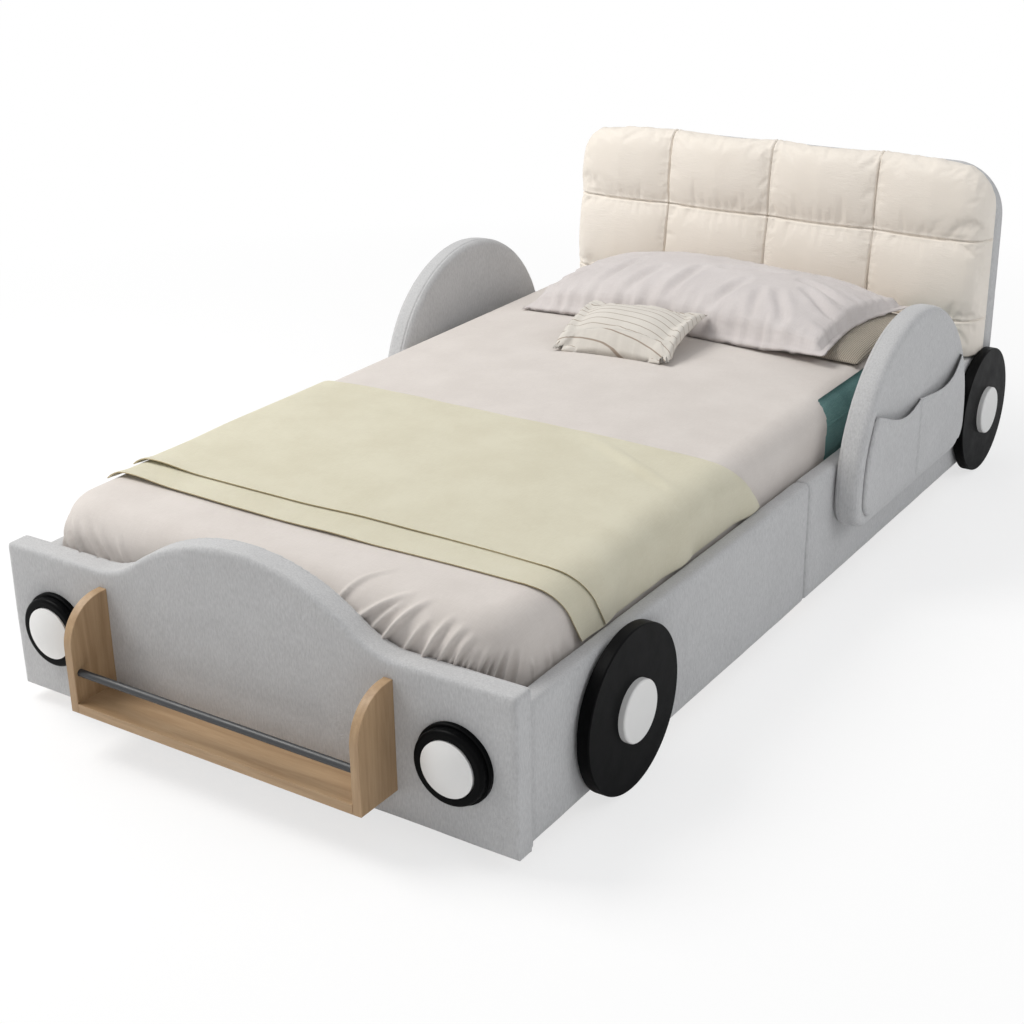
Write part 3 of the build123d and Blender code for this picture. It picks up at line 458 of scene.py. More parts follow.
leatherette, tree, shader = new_material("cream_leatherette")
place = add_node(tree, "TexCoord")
pebbles = add_node(tree, "TexVoronoi", {"Vector": place.outputs["Object"], "Scale": 850.0}, feature="F1")
blotch = add_node(tree, "TexNoise", {"Vector": place.outputs["Object"], "Scale": 9.0, "Detail": 4.0})
level = add_node(tree, "Mapping", {"Vector": place.outputs["Object"], "Scale": (0.22, 0.6, 1.0)})
lines = add_node(
    tree, "TexNoise", {"Vector": level.outputs[0], "Scale": 210.0, "Detail": 3.0, "Distortion": 0.9},
)
tree.links.new(colour_between(tree, blotch.outputs["Fac"], pad_shade, pad_cream), shader.inputs["Base Color"])
rough = add_node(tree, "MapRange", {"Value": blotch.outputs["Fac"], "To Min": 0.46, "To Max": 0.62})
tree.links.new(rough.outputs[0], shader.inputs["Roughness"])
shader.inputs["Specular IOR Level"].default_value = 0.35
where = add_node(tree, "MapRange", {"Value": blotch.outputs["Fac"], "From Min": 0.42, "From Max": 0.66})
worked = maths(tree, "MULTIPLY", lines.outputs["Fac"], where.outputs[0])
first = add_node(tree, "Bump", {"Height": worked.outputs[0], "Distance": 0.0012, "Strength": 0.8})
add_relief(tree, shader, pebbles.outputs["Distance"], 0.0003, first.outputs[0])


def group_of(piece, name, weigh):
    """A vertex group weighted by a function of each point."""
    made = piece.vertex_groups.new(name=name)
    for vert in piece.data.vertices:
        weight = weigh(vert.co)
        if weight > 0:
            made.add([vert.index], min(1.0, weight), "REPLACE")
    return made


def inflate(piece, pressure, cap, frames=20, pin=None, grow=0.0, floor_under=None):
    """Blow a closed cloth skin up from inside, and hold every point within the cap."""
    rest = [vert.co.copy() for vert in piece.data.vertices]
    cloth = piece.modifiers.new("cloth", "CLOTH")
    cloth.settings.quality = 4
    cloth.settings.mass = 0.3
    cloth.settings.tension_stiffness = 12
    cloth.settings.compression_stiffness = 12
    cloth.settings.bending_stiffness = 0.4
    cloth.settings.use_pressure = True
    cloth.settings.uniform_pressure_force = pressure
    cloth.settings.effector_weights.gravity = 0
    cloth.settings.shrink_min = -grow
    cloth.collision_settings.use_collision = False
    if pin:
        cloth.settings.vertex_group_mass = pin
    cloth.point_cache.frame_start = 1
    cloth.point_cache.frame_end = frames
    for step in range(1, frames + 1):
        bpy.context.scene.frame_set(step)
    bake(piece)
    bpy.context.scene.frame_set(1)
    for vert, start in zip(piece.data.vertices, rest):
        move = vert.co - start
        if move.length > 1e-9:
            move *= cap * math.tanh(move.length / cap) / move.length
        vert.co = start + move
        if floor_under is not None:
            vert.co.z = max(vert.co.z, floor_under(vert.co))


def crease(shape, start, end, width, depth, side=lambda normal: True):
    """Press one soft crease along a line, with a ridge beside it."""
    start, end = Vector(start), Vector(end)
    run = end - start
    for vert in shape.verts:
        share = max(0.0, min(1.0, (vert.co - start).dot(run) / run.length_squared))
        near = start + run * share
        off = (vert.co - near).length / width
        if off < 3 and side(vert.normal):
            fade = math.sin(math.pi * min(1.0, max(0.0, 0.12 + 0.76 * share)))
            above = 1 if (vert.co - near).z > 0 else -1
            vert.co += vert.normal * fade * depth * (
                -math.exp(-off * off) + 0.6 * math.exp(-((off - 1.5) ** 2)) * (above > 0)
            )


pad = put_in_scene(cad_copy("headboard_pad"), "headboard_quilting")
even_out(pad, 0.005, 1)
low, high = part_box("headboard_pad")
pad_back = high[1] - 0.012


def pad_pin(spot):
    if spot.y > pad_back:
        return 1.0
    off = min([abs(spot.x - line) for line in pad_columns] + [abs(spot.z - line) for line in pad_rows])
    return 1.0 if off < 0.0026 else 0.0


group_of(pad, "sewn", pad_pin)
inflate(pad, pressure=2.0, cap=0.0075, pin="sewn", grow=0.022)
pad_creases = (
    ((-0.52, 0.63), (-0.44, 0.636)), ((-0.50, 0.606), (-0.38, 0.611)), ((-0.51, 0.593), (-0.40, 0.597)),
    ((-0.50, 0.579), (-0.42, 0.583)), ((-0.52, 0.512), (-0.44, 0.498)), ((-0.51, 0.478), (-0.43, 0.468)),
    ((-0.18, 0.738), (-0.205, 0.700)), ((-0.155, 0.728), (-0.175, 0.694)), ((-0.02, 0.735), (-0.03, 0.70)),
    ((0.10, 0.738), (0.104, 0.688)), ((0.14, 0.735), (0.152, 0.69)), ((0.175, 0.73), (0.185, 0.70)),
    ((0.21, 0.735), (0.245, 0.70)), ((0.32, 0.70), (0.33, 0.665)), ((0.31, 0.64), (0.45, 0.632)),
    ((0.42, 0.625), (0.52, 0.612)), ((0.36, 0.60), (0.50, 0.592)), ((0.40, 0.585), (0.51, 0.575)),
    ((0.37, 0.50), (0.47, 0.487)), ((0.34, 0.475), (0.50, 0.455)), ((0.42, 0.53), (0.51, 0.52)),
    ((0.45, 0.43), (0.52, 0.425)),
)


def quilt(shape):
    front = lambda normal: normal.y < 0.3
    for start, end in pad_creases:
        face = [low[1] + 0.02 + max(0.0, z - pad_rows[0]) * 0.086 for z in (start[1], end[1])]
        crease(shape, (start[0], face[0], start[1]), (end[0], face[1], end[1]), 0.0065, 0.004, front)
    for line in pad_columns:
        press_seam(shape, (line, 0, 0), (1, 0, 0), 0.0022, 0.0045, lambda spot: spot.y < pad_back)
    for line in pad_rows:
        press_seam(shape, (0, 0, line), (0, 0, 1), 0.0022, 0.0045, lambda spot: spot.y < pad_back)


reshape(pad, quilt)
pad.data.materials.append(leatherette)
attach(pad, "bed")
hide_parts("headboard_pad")


# The side guards: round velvet boards bolted to the outside of the rails.
# Each has two cloth pockets on its outer face, sewn round the edge and down the middle, with scooped mouths.
guard_centre = (0.450125, 0.227)
pocket_radius = 0.286
pocket_foot = 0.170
pocket_mouth = 0.380
pocket_divider = 0.348
pocket_corner = 0.040

for side in ("left", "right"):
    low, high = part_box(f"guard_{side}_cover")
    inner = 0.012 if side == "right" else -0.012
    seam_x = (low[0] if side == "right" else high[0]) + inner
    upholster(f"guard_{side}_cover", 0, 0.016, 0.0145, [((seam_x, 0, 0), (1, 0, 0))])


def pocket_sheet(side, face):
    """One cloth panel with its puffed border, middle seam and scooped mouths."""
    shape = bmesh.new()
    bmesh.ops.create_grid(shape, x_segments=150, y_segments=70, size=1.0)
    for vert in shape.verts:
        across, up = vert.co.x, (vert.co.y + 1) / 2
        half = abs(across)
        rise = pocket_mouth - (pocket_mouth - pocket_divider) * (1 - half) ** 1.5
        scoop = 0.022 * math.sin(math.pi * min(1.0, half)) ** 1.2
        mouth = rise - scoop
        z = pocket_foot + (mouth - pocket_foot) * up
        wide = math.sqrt(pocket_radius**2 - max(0.0, z - guard_centre[1]) ** 2)
        if z < pocket_foot + pocket_corner:
            wide -= pocket_corner - math.sqrt(max(0.0, pocket_corner**2 - (pocket_corner - (z - pocket_foot)) ** 2))
        y = guard_centre[0] + across * wide
        rim = min(wide * (1 - half), z - pocket_foot)
        seam = wide * half
        puff = 0.0065 * (1 - math.exp(-max(0.0, rim) / 0.003)) * (1 - 0.85 * math.exp(-((seam / 0.0035) ** 2)))
        puff += (
            0.0012 * math.exp(-(((rim - 0.006) / 0.0022) ** 2))
            + 0.0011 * math.exp(-(((mouth - z - 0.002) / 0.002) ** 2))
        )
        belly = 0.0105 * max(0.0, math.sin(math.pi * half)) ** 1.2 * (0.12 + 0.88 * up**2.2)
        hem = 0.0012 * math.exp(-(((mouth - z - 0.013) / 0.002) ** 2))
        vert.co = (side * (face + 0.0012 + puff + belly - hem), y, z)
    bmesh.ops.recalc_face_normals(shape, faces=shape.faces[:])
    middle = shape.faces[len(shape.faces) // 2]
    if middle.normal.x * side < 0:
        bmesh.ops.reverse_faces(shape, faces=shape.faces[:])
    return shape


for name, side in (("right", 1), ("left", -1)):
    low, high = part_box(f"guard_{name}_cover")
    piece = put_in_scene(pocket_sheet(side, high[0] if side > 0 else -low[0]), f"guard_{name}_pocket_cloth")
    wall = piece.modifiers.new("wall", "SOLIDIFY")
    wall.thickness = 0.002
    wall.offset = -0.9
    bake(piece)
    piece.data.shade_smooth()
    piece.data.materials.append(velvet)
    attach(piece, "bed")
    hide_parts(f"guard_{name}_pockets")


# The wheels and lamps: flat moulded discs screwed on as trim, black with white caps.
# Satin plastic with a fine orange-peel skin; the round edges carry a thin highlight.
black_colour = (0.0016, 0.0017, 0.0019, 1.0)
white_colour = (0.82, 0.815, 0.80, 1.0)

moulded_skin, taken, given = new_group(
    "moulded_skin",
    (("Vector", "NodeSocketVector"),),
    (("Peel", "NodeSocketFloat"), ("Smudge", "NodeSocketFloat")),
)
peel = add_node(moulded_skin, "TexNoise", {"Vector": taken.outputs[0], "Scale": 420.0, "Detail": 2.0})
smudge = add_node(
    moulded_skin, "TexNoise", {"Vector": taken.outputs[0], "Scale": 22.0, "Detail": 5.0, "Roughness": 0.65},
)
moulded_skin.links.new(peel.outputs["Fac"], given.inputs["Peel"])
moulded_skin.links.new(smudge.outputs["Fac"], given.inputs["Smudge"])


def plastic(name, colour, worn, low_rough, high_rough, gloss=0.5):
    made, tree, shader = new_material(name)
    shader.inputs["Specular IOR Level"].default_value = gloss
    place = add_node(tree, "TexCoord")
    skin = add_node(tree, "Group", {"Vector": place.outputs["Object"]}, node_tree=moulded_skin)
    tree.links.new(colour_between(tree, skin.outputs["Smudge"], colour, worn), shader.inputs["Base Color"])
    rough = add_node(
        tree, "MapRange",
        {"Value": skin.outputs["Smudge"], "From Min": 0.3, "From Max": 0.7, "To Min": low_rough, "To Max": high_rough},
    )
    tree.links.new(rough.outputs[0], shader.inputs["Roughness"])
    add_relief(tree, shader, skin.outputs["Peel"], 0.00012)
    return made


satin_black = plastic("satin_black", black_colour, (0.0028, 0.0029, 0.0032, 1.0), 0.34, 0.46, 0.045)
satin_white = plastic("satin_white", white_colour, (0.78, 0.775, 0.76, 1.0), 0.36, 0.48)
for name, piece in nodes.items():
    if slots[name] == "wheel_black":
        piece.data.materials.append(satin_black)
    elif slots[name] == "disc_white":
        piece.data.materials.append(satin_white)


# The bookshelf: two oak-veneered sides with a rounded front, a bottom board and a dark steel rod.
# It is bolted to the foot board, and the grain runs up the sides and along the board.
oak_pale = (0.46, 0.312, 0.178, 1.0)
oak_dark = (0.345, 0.218, 0.114, 1.0)

oak_upright = wood("oak_upright", oak_pale, oak_dark, (0, 0, 0), 60.0, 0.5)
oak_along = wood("oak_along", oak_pale, oak_dark, (0, math.pi / 2, 0), 60.0, 0.5)
powder_coat = plastic("powder_coated_rod", (0.02, 0.022, 0.025, 1.0), (0.035, 0.037, 0.04, 1.0), 0.35, 0.5)
for name, piece in nodes.items():
    if slots[name] == "shelf_oak":
        piece.data.materials.append(oak_upright if "side" in name else oak_along)
    elif slots[name] == "rod_metal":
        piece.data.materials.append(powder_coat)


# The mattress: a foam block in teal knitted cloth, with a welt round its top and bottom edges.
# It lies loose on the slats and lifts straight out.
bed_half = 0.495
bed_reach = 0.950
bed_middle = -0.043875
bed_corner = 0.095
bed_edge = 0.058
bed_top = 0.396
bed_crown = 0.009
bed_base = 0.210
teal_pale = (0.16, 0.33, 0.32, 1.0)
teal_dark = (0.09, 0.22, 0.215, 1.0)

plain_weave, taken, given = new_group(
    "plain_weave",
    (("Vector", "NodeSocketVector"), ("Threads", "NodeSocketFloat")),
    (("Height", "NodeSocketFloat"), ("Slub", "NodeSocketFloat")),
)
apart = add_node(plain_weave, "SeparateXYZ", {0: taken.outputs[0]})
waves = []
for number in (0, 1):
    count = maths(plain_weave, "MULTIPLY", apart.outputs[number], taken.outputs[1])
    turn = maths(plain_weave, "MULTIPLY", count.outputs[0], math.pi)
    waves.append(maths(plain_weave, "SINE", turn.outputs[0]))
over = maths(plain_weave, "MULTIPLY", waves[0].outputs[0], waves[1].outputs[0])
over = maths(plain_weave, "GREATER_THAN", over.outputs[0], 0.0)
tops = [maths(plain_weave, "ABSOLUTE", wave.outputs[0]) for wave in waves]
height = add_node(
    plain_weave, "Mix", {0: over.outputs[0], 2: tops[1].outputs[0], 3: tops[0].outputs[0]}, data_type="FLOAT",
)
slubs = []
for scale in ((0.12, 1, 1), (1, 0.12, 1)):
    drawn = add_node(plain_weave, "Mapping", {"Vector": taken.outputs[0], "Scale": scale})
    slubs.append(add_node(plain_weave, "TexNoise", {"Vector": drawn.outputs[0], "Scale": 420.0, "Detail": 2.0}))
slub = maths(plain_weave, "ADD", slubs[0].outputs["Fac"], slubs[1].outputs["Fac"])
slub = maths(plain_weave, "MULTIPLY", slub.outputs[0], 0.5)
plain_weave.links.new(height.outputs[0], given.inputs["Height"])
plain_weave.links.new(slub.outputs[0], given.inputs["Slub"])


def cloth_material(name, pale, dark, threads, depth, sheen, source="Object"):
    """Woven cloth: threads in relief, slubs in its colour, and a soft sheen."""
    made, tree, shader = new_material(name)
    place = add_node(tree, "TexCoord")
    weave = add_node(
        tree, "Group", {"Vector": place.outputs[source], "Threads": threads}, node_tree=plain_weave,
    )
    cloud = add_node(tree, "TexNoise", {"Vector": place.outputs["Object"], "Scale": 11.0, "Detail": 3.0})
    tone = maths(tree, "ADD", weave.outputs["Slub"], cloud.outputs["Fac"])
    tone = add_node(tree, "MapRange", {"Value": tone.outputs[0], "From Min": 0.8, "From Max": 1.2})
    tree.links.new(colour_between(tree, tone.outputs[0], dark, pale), shader.inputs["Base Color"])
    rough = add_node(tree, "MapRange", {"Value": weave.outputs["Slub"], "To Min": 0.8, "To Max": 0.95})
    tree.links.new(rough.outputs[0], shader.inputs["Roughness"])
    shader.inputs["Specular IOR Level"].default_value = 0.2
    shader.inputs["Sheen Weight"].default_value = sheen
    relief = maths(tree, "ADD", weave.outputs["Height"], weave.outputs["Slub"])
    add_relief(tree, shader, relief.outputs[0], depth)
    return made, tree, shader


teal_knit = cloth_material("teal_knit", teal_pale, teal_dark, 500.0, 0.0004, 0.15)[0]
shape = bmesh.new()
bmesh.ops.create_cube(shape, size=1.0)
skin = 0.002
for vert in shape.verts:
    vert.co.x *= 2 * (bed_half - skin)
    vert.co.y = bed_middle + vert.co.y * 2 * (bed_reach - skin)
    vert.co.z = bed_base if vert.co.z < 0 else bed_top - skin
corners = [edge for edge in shape.edges if abs(edge.verts[0].co.z - edge.verts[1].co.z) > 0.1]
bmesh.ops.bevel(shape, geom=corners, offset=bed_corner, affect="EDGES", segments=8, profile=0.5, material=-1)
rims = [edge for edge in shape.edges if all(vert.co.z > bed_top - 0.01 for vert in edge.verts)]
bmesh.ops.bevel(shape, geom=rims, offset=bed_edge, affect="EDGES", segments=8, profile=0.5, material=-1)
mattress = put_in_scene(shape, "mattress_teal")
even_out(mattress, 0.009, 2)


def crown_at(x, y):
    """How far the mattress top rises above its edge."""
    wide = min(1.0, abs(x) / (bed_half - bed_edge))
    far = min(1.0, abs(y - bed_middle) / (bed_reach - bed_edge))
    return bed_crown * (1 - wide**2) * (1 - far**4)


def finish_mattress(shape):
    for vert in shape.verts:
        if vert.co.z > bed_top - 0.02:
            vert.co.z += crown_at(vert.co.x, vert.co.y)
    for level in (0.222, 0.338):
        press_seam(shape, (0, 0, level), (0, 0, 1), 0.0022, -0.0016)


reshape(mattress, finish_mattress)
mattress.data.materials.append(teal_knit)
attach(mattress, "mattress_set")
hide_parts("mattress")


# The fitted sheet: smooth pale cotton drawn over the mattress and tucked in round it.
# It is stretched flat on top and gathered in radial pleats round the foot corners.
sheet_pale = (0.715, 0.665, 0.625, 1.0)
sheet_dark = (0.665, 0.615, 0.575, 1.0)
sheet_hem = 0.232


def on_bed(x, y, lift):
    """Where a point of flat cloth, laid over the mattress, comes to lie, and which way is outward."""
    core_x = max(bed_corner - bed_half, min(bed_half - bed_corner, x))
    core_y = max(bed_corner - bed_reach, min(bed_reach - bed_corner, y - bed_middle))
    away = Vector((x - core_x, y - bed_middle - core_y))
    far = away.length
    flat = bed_corner - bed_edge
    if far <= flat:
        return Vector((x, y, bed_top + lift + crown_at(x, y))), Vector((0, 0, 1))
    out = away / far
    run = far - flat
    bend = bed_edge + lift
    if run < bend * math.pi / 2:
        angle = run / bend
        reach, drop = bend * math.sin(angle), bend * (1 - math.cos(angle))
    else:
        angle = math.pi / 2
        reach, drop = bend, bend + run - bend * math.pi / 2
    spot = Vector((
        core_x + out.x * (flat + reach),
        bed_middle + core_y + out.y * (flat + reach),
        bed_top + lift - drop + crown_at(x, y),
    ))
    return spot, Vector((out.x * math.sin(angle), out.y * math.sin(angle), math.cos(angle)))


def spaced(*runs):
    """Places along a line: each run is (start, end, step)."""
    places = []
    for start, end, step in runs:
        count = max(1, round((end - start) / step))
        places += [start + (end - start) * i / count for i in range(count)]
    return places + [runs[-1][1]]


def cloth_grid(columns, rows):
    """A grid of cloth whose points stand at the given columns and rows, with its UV map in metres."""
    shape = bmesh.new()
    bmesh.ops.create_grid(shape, x_segments=len(columns) - 1, y_segments=len(rows) - 1, size=1.0)
    for vert in shape.verts:
        column = round((vert.co.x + 1) / 2 * (len(columns) - 1))
        row = round((vert.co.y + 1) / 2 * (len(rows) - 1))
        vert.co = (columns[column], rows[row], 0)
    flat_map = shape.loops.layers.uv.new("cloth")
    for face in shape.faces:
        for corner in face.loops:
            corner[flat_map].uv = corner.vert.co.xy
    return shape


foot_pleats = (
    ((0.181, -0.990), (0.235, -0.895), 0.0035), ((0.233, -1.010), (0.309, -0.950), 0.0060),
    ((0.276, -1.035), (0.341, -0.955), 0.0085), ((0.345, -1.060), (0.393, -0.972), 0.0095),
    ((0.372, -1.062), (0.421, -0.980), 0.0085), ((0.405, -1.064), (0.440, -0.990), 0.0085),
    ((0.440, -1.064), (0.458, -0.998), 0.0070), ((0.468, -1.060), (0.474, -0.985), 0.0085),
    ((0.510, -1.050), (0.492, -0.975), 0.0110), ((0.572, -0.925), (0.550, -0.925), 0.0030),
    ((0.578, -0.870), (0.548, -0.872), 0.0045), ((0.582, -0.842), (0.550, -0.848), 0.0045),
    ((0.590, -0.800), (0.560, -0.806), 0.0030),
    ((0.255, -1.022), (0.306, -0.962), 0.0040), ((0.312, -1.050), (0.356, -0.984), 0.0052),
    ((0.359, -1.062), (0.402, -0.992), 0.0055), ((0.389, -1.063), (0.428, -0.998), 0.0052),
    ((0.423, -1.064), (0.449, -1.002), 0.0055), ((0.455, -1.062), (0.467, -0.998), 0.0060),
    ((0.489, -1.056), (0.483, -0.985), 0.0080), ((0.531, -1.025), (0.503, -0.962), 0.0085),
    ((0.551, -0.985), (0.520, -0.945), 0.0060),
    ((-0.293, -1.050), (-0.320, -1.000), 0.0040), ((-0.325, -1.055), (-0.372, -0.995), 0.0060),
    ((-0.352, -1.060), (-0.408, -0.990), 0.0070), ((-0.402, -1.060), (-0.440, -0.985), 0.0080),
    ((-0.450, -1.058), (-0.470, -0.975), 0.0090), ((-0.500, -1.040), (-0.492, -0.962), 0.0100),
    ((-0.545, -1.010), (-0.510, -0.950), 0.0080), ((-0.570, -0.960), (-0.530, -0.930), 0.0060),
    ((-0.585, -0.900), (-0.545, -0.890), 0.0040),
)


def pleat_lift(x, y):
    """The height of the sheet's pleats at a point of the flat cloth."""
    total = 0.0
    for outer, inner, tall in foot_pleats:
        run = (inner[0] - outer[0], inner[1] - outer[1])
        long = math.hypot(*run)
        share = ((x - outer[0]) * run[0] + (y - outer[1]) * run[1]) / long**2
        off = ((x - outer[0]) * run[1] - (y - outer[1]) * run[0]) / long
        if -1.2 < share < 1.0 and abs(off) < 0.03:
            fade = 1.0 if share < 0.3 else (1 - (share - 0.3) / 0.7) ** 0.9
            wide = 0.0042 + 0.002 * max(0.0, share)
            total += 1.45 * tall * fade * (
                math.exp(-((off / wide) ** 2)) - 0.35 * math.exp(-(((off - 0.0105) / 0.007) ** 2))
            )
    return total


deep = bed_edge * math.pi / 2 + (bed_top - bed_edge - sheet_hem)
edge_x, edge_y = bed_half - bed_edge + deep, bed_reach - bed_edge + deep
columns = spaced((-edge_x, -0.25, 0.0042), (-0.25, 0.17, 0.02), (0.17, edge_x, 0.0038))
rows = spaced(
    (bed_middle - edge_y, -0.87, 0.0042), (-0.87, -0.78, 0.009), (-0.78, 0.18, 0.02), (0.18, 0.23, 0.004),
    (0.23, bed_middle + edge_y, 0.02),
)
shape = cloth_grid(columns, rows)
gone = []
for vert in shape.verts:
    x, y = vert.co.x, vert.co.y
    core_x = max(bed_corner - bed_half, min(bed_half - bed_corner, x))
    core_y = max(bed_corner - bed_reach, min(bed_reach - bed_corner, y - bed_middle))
    run = math.hypot(x - core_x, y - bed_middle - core_y) - (bed_corner - bed_edge)
    limit = deep
    if x > 0 and y > 0.15 and core_x > 0.39:
        limit = deep - (deep - 0.030) * (1 - (1 - min(1.0, max(0.0, (y - 0.196) / 0.026))) ** 2.5)
    if run > limit + 0.006:
        gone.append(vert)
        continue
    if run > limit:
        pull = (limit + (bed_corner - bed_edge)) / (run + (bed_corner - bed_edge))
        x, y = core_x + (x - core_x) * pull, bed_middle + core_y + (y - bed_middle - core_y) * pull
    spot, out = on_bed(x, y, 0.0012)
    ripple = noise.noise(Vector((x * 5, y * 5, 2.0))) * 0.0016 * (1 if run < 0 else 0.3)
    vert.co = spot + out * (max(-0.0009, pleat_lift(vert.co.x, vert.co.y)) + max(0.0, ripple))
bmesh.ops.delete(shape, geom=gone, context="VERTS")
sheet = put_in_scene(shape, "fitted_sheet_cotton")
sheet.data.shade_smooth()
cotton = cloth_material("sheet_cotton", sheet_pale, sheet_dark, 1400.0, 0.00012, 0.1, "UV")[0]
sheet.data.materials.append(cotton)
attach(sheet, "mattress_set")
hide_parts("fitted_sheet")


# The throw: one light linen blanket folded double across the foot of the bed.
# The fold is towards the pillows, the lower layer shows past the upper one, and the right side hangs inside the rail.
throw_pale = (0.875, 0.83, 0.65, 1.0)
throw_dark = (0.815, 0.765, 0.585, 1.0)
hem_brown = (0.62, 0.52, 0.32, 1.0)
throw_thick = 0.0019
throw_left = -(bed_half - bed_edge) - 0.045
throw_right = bed_half - bed_edge + bed_edge * math.pi / 2 + 0.058


def throw_end(x, start, slant):
    """The front or rear line of a layer, slanting back where it hangs."""
    hang = max(0.0, (x - 0.45) / (throw_right - 0.45))
    return start + slant * hang**1.15 + 0.006 * math.sin(x * 7 + start * 9)


def throw_layer(front, lift, seed):
    columns = spaced((throw_left, 0.42, 0.011), (0.42, throw_right, 0.0055))
    rows = spaced((0, 1, 1 / 70))
    shape = cloth_grid(columns, rows)
    flat_map = shape.loops.layers.uv.active
    for vert in shape.verts:
        x, share = vert.co.x, vert.co.y
        start, stop = throw_end(x, front, 0.072), throw_end(x, -0.2394, 0.098)
        y = start + (stop - start) * share
        for corner in vert.link_loops:
            corner[flat_map].uv = (x, y)
        spot, out = on_bed(x, y, 0.0034 + lift)
        swell = noise.noise(Vector((x * 3.1, y * 3.1, seed))) * 0.004
        swell += noise.noise(Vector((x * 9, y * 7, seed + 5))) * 0.0015
        off = (x - 0.167) * 0.52 + (y + 0.240)
        along = (x - 0.167) * 0.86 - (y + 0.240) * 0.52
        if 0.0 < along < 0.36:
            swell += 0.007 * math.sin(math.pi * along / 0.36) * math.exp(-((off / 0.012) ** 2))
            swell -= 0.002 * math.sin(math.pi * along / 0.36) * math.exp(-(((off + 0.022) / 0.014) ** 2))
        hang = max(0.0, (x - 0.46) / (throw_right - 0.46))
        swell += hang * 0.005 * math.sin((y + 0.1 * hang) * 21 + seed) + hang * 0.003 * math.sin(y * 47 + seed)
        swell += 0.006 * math.exp(-((share / 0.04) ** 2)) * math.exp(-(((x + 0.42) / 0.07) ** 2))
        vert.co = spot + out * max(0.0, swell + 0.0015 * (1 + lift * 200))
    return shape


linen, tree, shader = cloth_material("throw_linen", throw_pale, throw_dark, 620.0, 0.0006, 0.2, "UV")
lower = throw_layer(-0.8544, 0.0, 3.0)
upper = throw_layer(-0.7844, 0.0030, 3.0)
mesh = bpy.data.meshes.new("folded")
upper.to_mesh(mesh)
upper.free()
lower.from_mesh(mesh)
throw = put_in_scene(lower, "throw_blanket_linen")
wall = throw.modifiers.new("wall", "SOLIDIFY")
wall.thickness = throw_thick
wall.offset = 1.0
wall.material_offset_rim = 1
throw.data.materials.append(linen)
hem_thread = cloth_material("throw_hem", hem_brown, (0.52, 0.42, 0.24, 1.0), 620.0, 0.0004, 0.1, "UV")[0]
throw.data.materials.append(hem_thread)
bake(throw)
throw.data.shade_smooth()
throw.data.set_sharp_from_angle(angle=math.radians(50))
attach(throw, "throw_set")
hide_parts("throw_blanket")


# The pillows: a flat ribbed one below, the main one in smooth cotton with a sewn flange, and a small striped cushion.
# Each is a filled cotton bag, closed by a seam round its edge.
pillow_pale = (0.70, 0.655, 0.640, 1.0)
pillow_dark = (0.645, 0.60, 0.585, 1.0)
rib_pale = (0.56, 0.50, 0.42, 1.0)
# Painted shade: the darker rib colour stands for the shade in the hollows between the ribs.
rib_hollow_shade = (0.36, 0.31, 0.24, 1.0)
cushion_pale = (0.76, 0.72, 0.66, 1.0)
stripe_brown = (0.30, 0.22, 0.16, 1.0)


def pillow_shape(name, centre, size, turn, draw_in, cells):
    """A sewn bag that fills its CAD solid: a top and an under side that meet in the seam."""
    solid = cad_copy(name)
    tree = BVHTree.FromBMesh(solid)
    low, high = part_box(name)
    spin = Matrix.Rotation(math.radians(turn), 2)
    shape = bmesh.new()
    seam = shape.verts.layers.int.new("seam")
    rim = shape.verts.layers.float.new("rim")
    level = shape.verts.layers.float.new("level")
    girth = shape.verts.layers.float.new("girth")
    flat_map = shape.loops.layers.uv.new("cloth")
    for side in (1, -1):
        made = bmesh.ops.create_grid(shape, x_segments=cells[0], y_segments=cells[1], size=1.0)
        verts = made["verts"]
        for face in {face for vert in verts for face in vert.link_faces}:
            for corner in face.loops:
                corner[flat_map].uv = (corner.vert.co.x * size[0] / 2, corner.vert.co.y * size[1] / 2)
        for vert in verts:
            u, v = vert.co.x, vert.co.y
            edge = max(abs(u), abs(v)) > 0.9999
            vert[seam] = int(edge)
            reach = 0.985
            flat = spin @ Vector((
                u * size[0] / 2 * reach * (1 - draw_in * 0.6 * (1 - v * v)),
                v * size[1] / 2 * reach * (1 - draw_in * (1 - u * u)),
            ))
            x, y = centre[0] + flat.x, centre[1] + flat.y
            top = tree.ray_cast(Vector((x, y, high[2] + 0.1)), Vector((0, 0, -1)))[0]
            under = tree.ray_cast(Vector((x, y, low[2] - 0.1)), Vector((0, 0, 1)))[0]
            if top is None or under is None:
                near = tree.find_nearest(Vector((x, y, (low[2] + high[2]) / 2)))[0]
                top = under = near
                x, y = near.x, near.y
            middle = (top.z + under.z) / 2
            vert[rim] = min((1 - abs(u)) * size[0], (1 - abs(v)) * size[1]) / 2
            vert[level] = middle
            vert[girth] = v * size[1] / 2 if (1 - abs(u)) * size[0] < (1 - abs(v)) * size[1] else u * size[0] / 2
            inset = 0.0015 if not edge else 0.0
            vert.co = (x, y, middle if edge else (top.z - inset if side > 0 else under.z + inset))
        if side < 0:
            bmesh.ops.reverse_faces(shape, faces=list({face for vert in verts for face in vert.link_faces}))
    bmesh.ops.remove_doubles(shape, verts=[vert for vert in shape.verts if vert[seam]], dist=3e-4)
    bmesh.ops.recalc_face_normals(shape, faces=shape.faces[:])
    solid.free()
    return shape, tree


def under_of(tree, drop=0.0008):
    """The lowest a point of a pillow may come: the underside of its CAD solid."""
    def lowest(spot):
        hit = tree.ray_cast(Vector((spot.x, spot.y, -0.2)), Vector((0, 0, 1)))[0]
        return hit.z - drop if hit is not None else 0.0
    return lowest


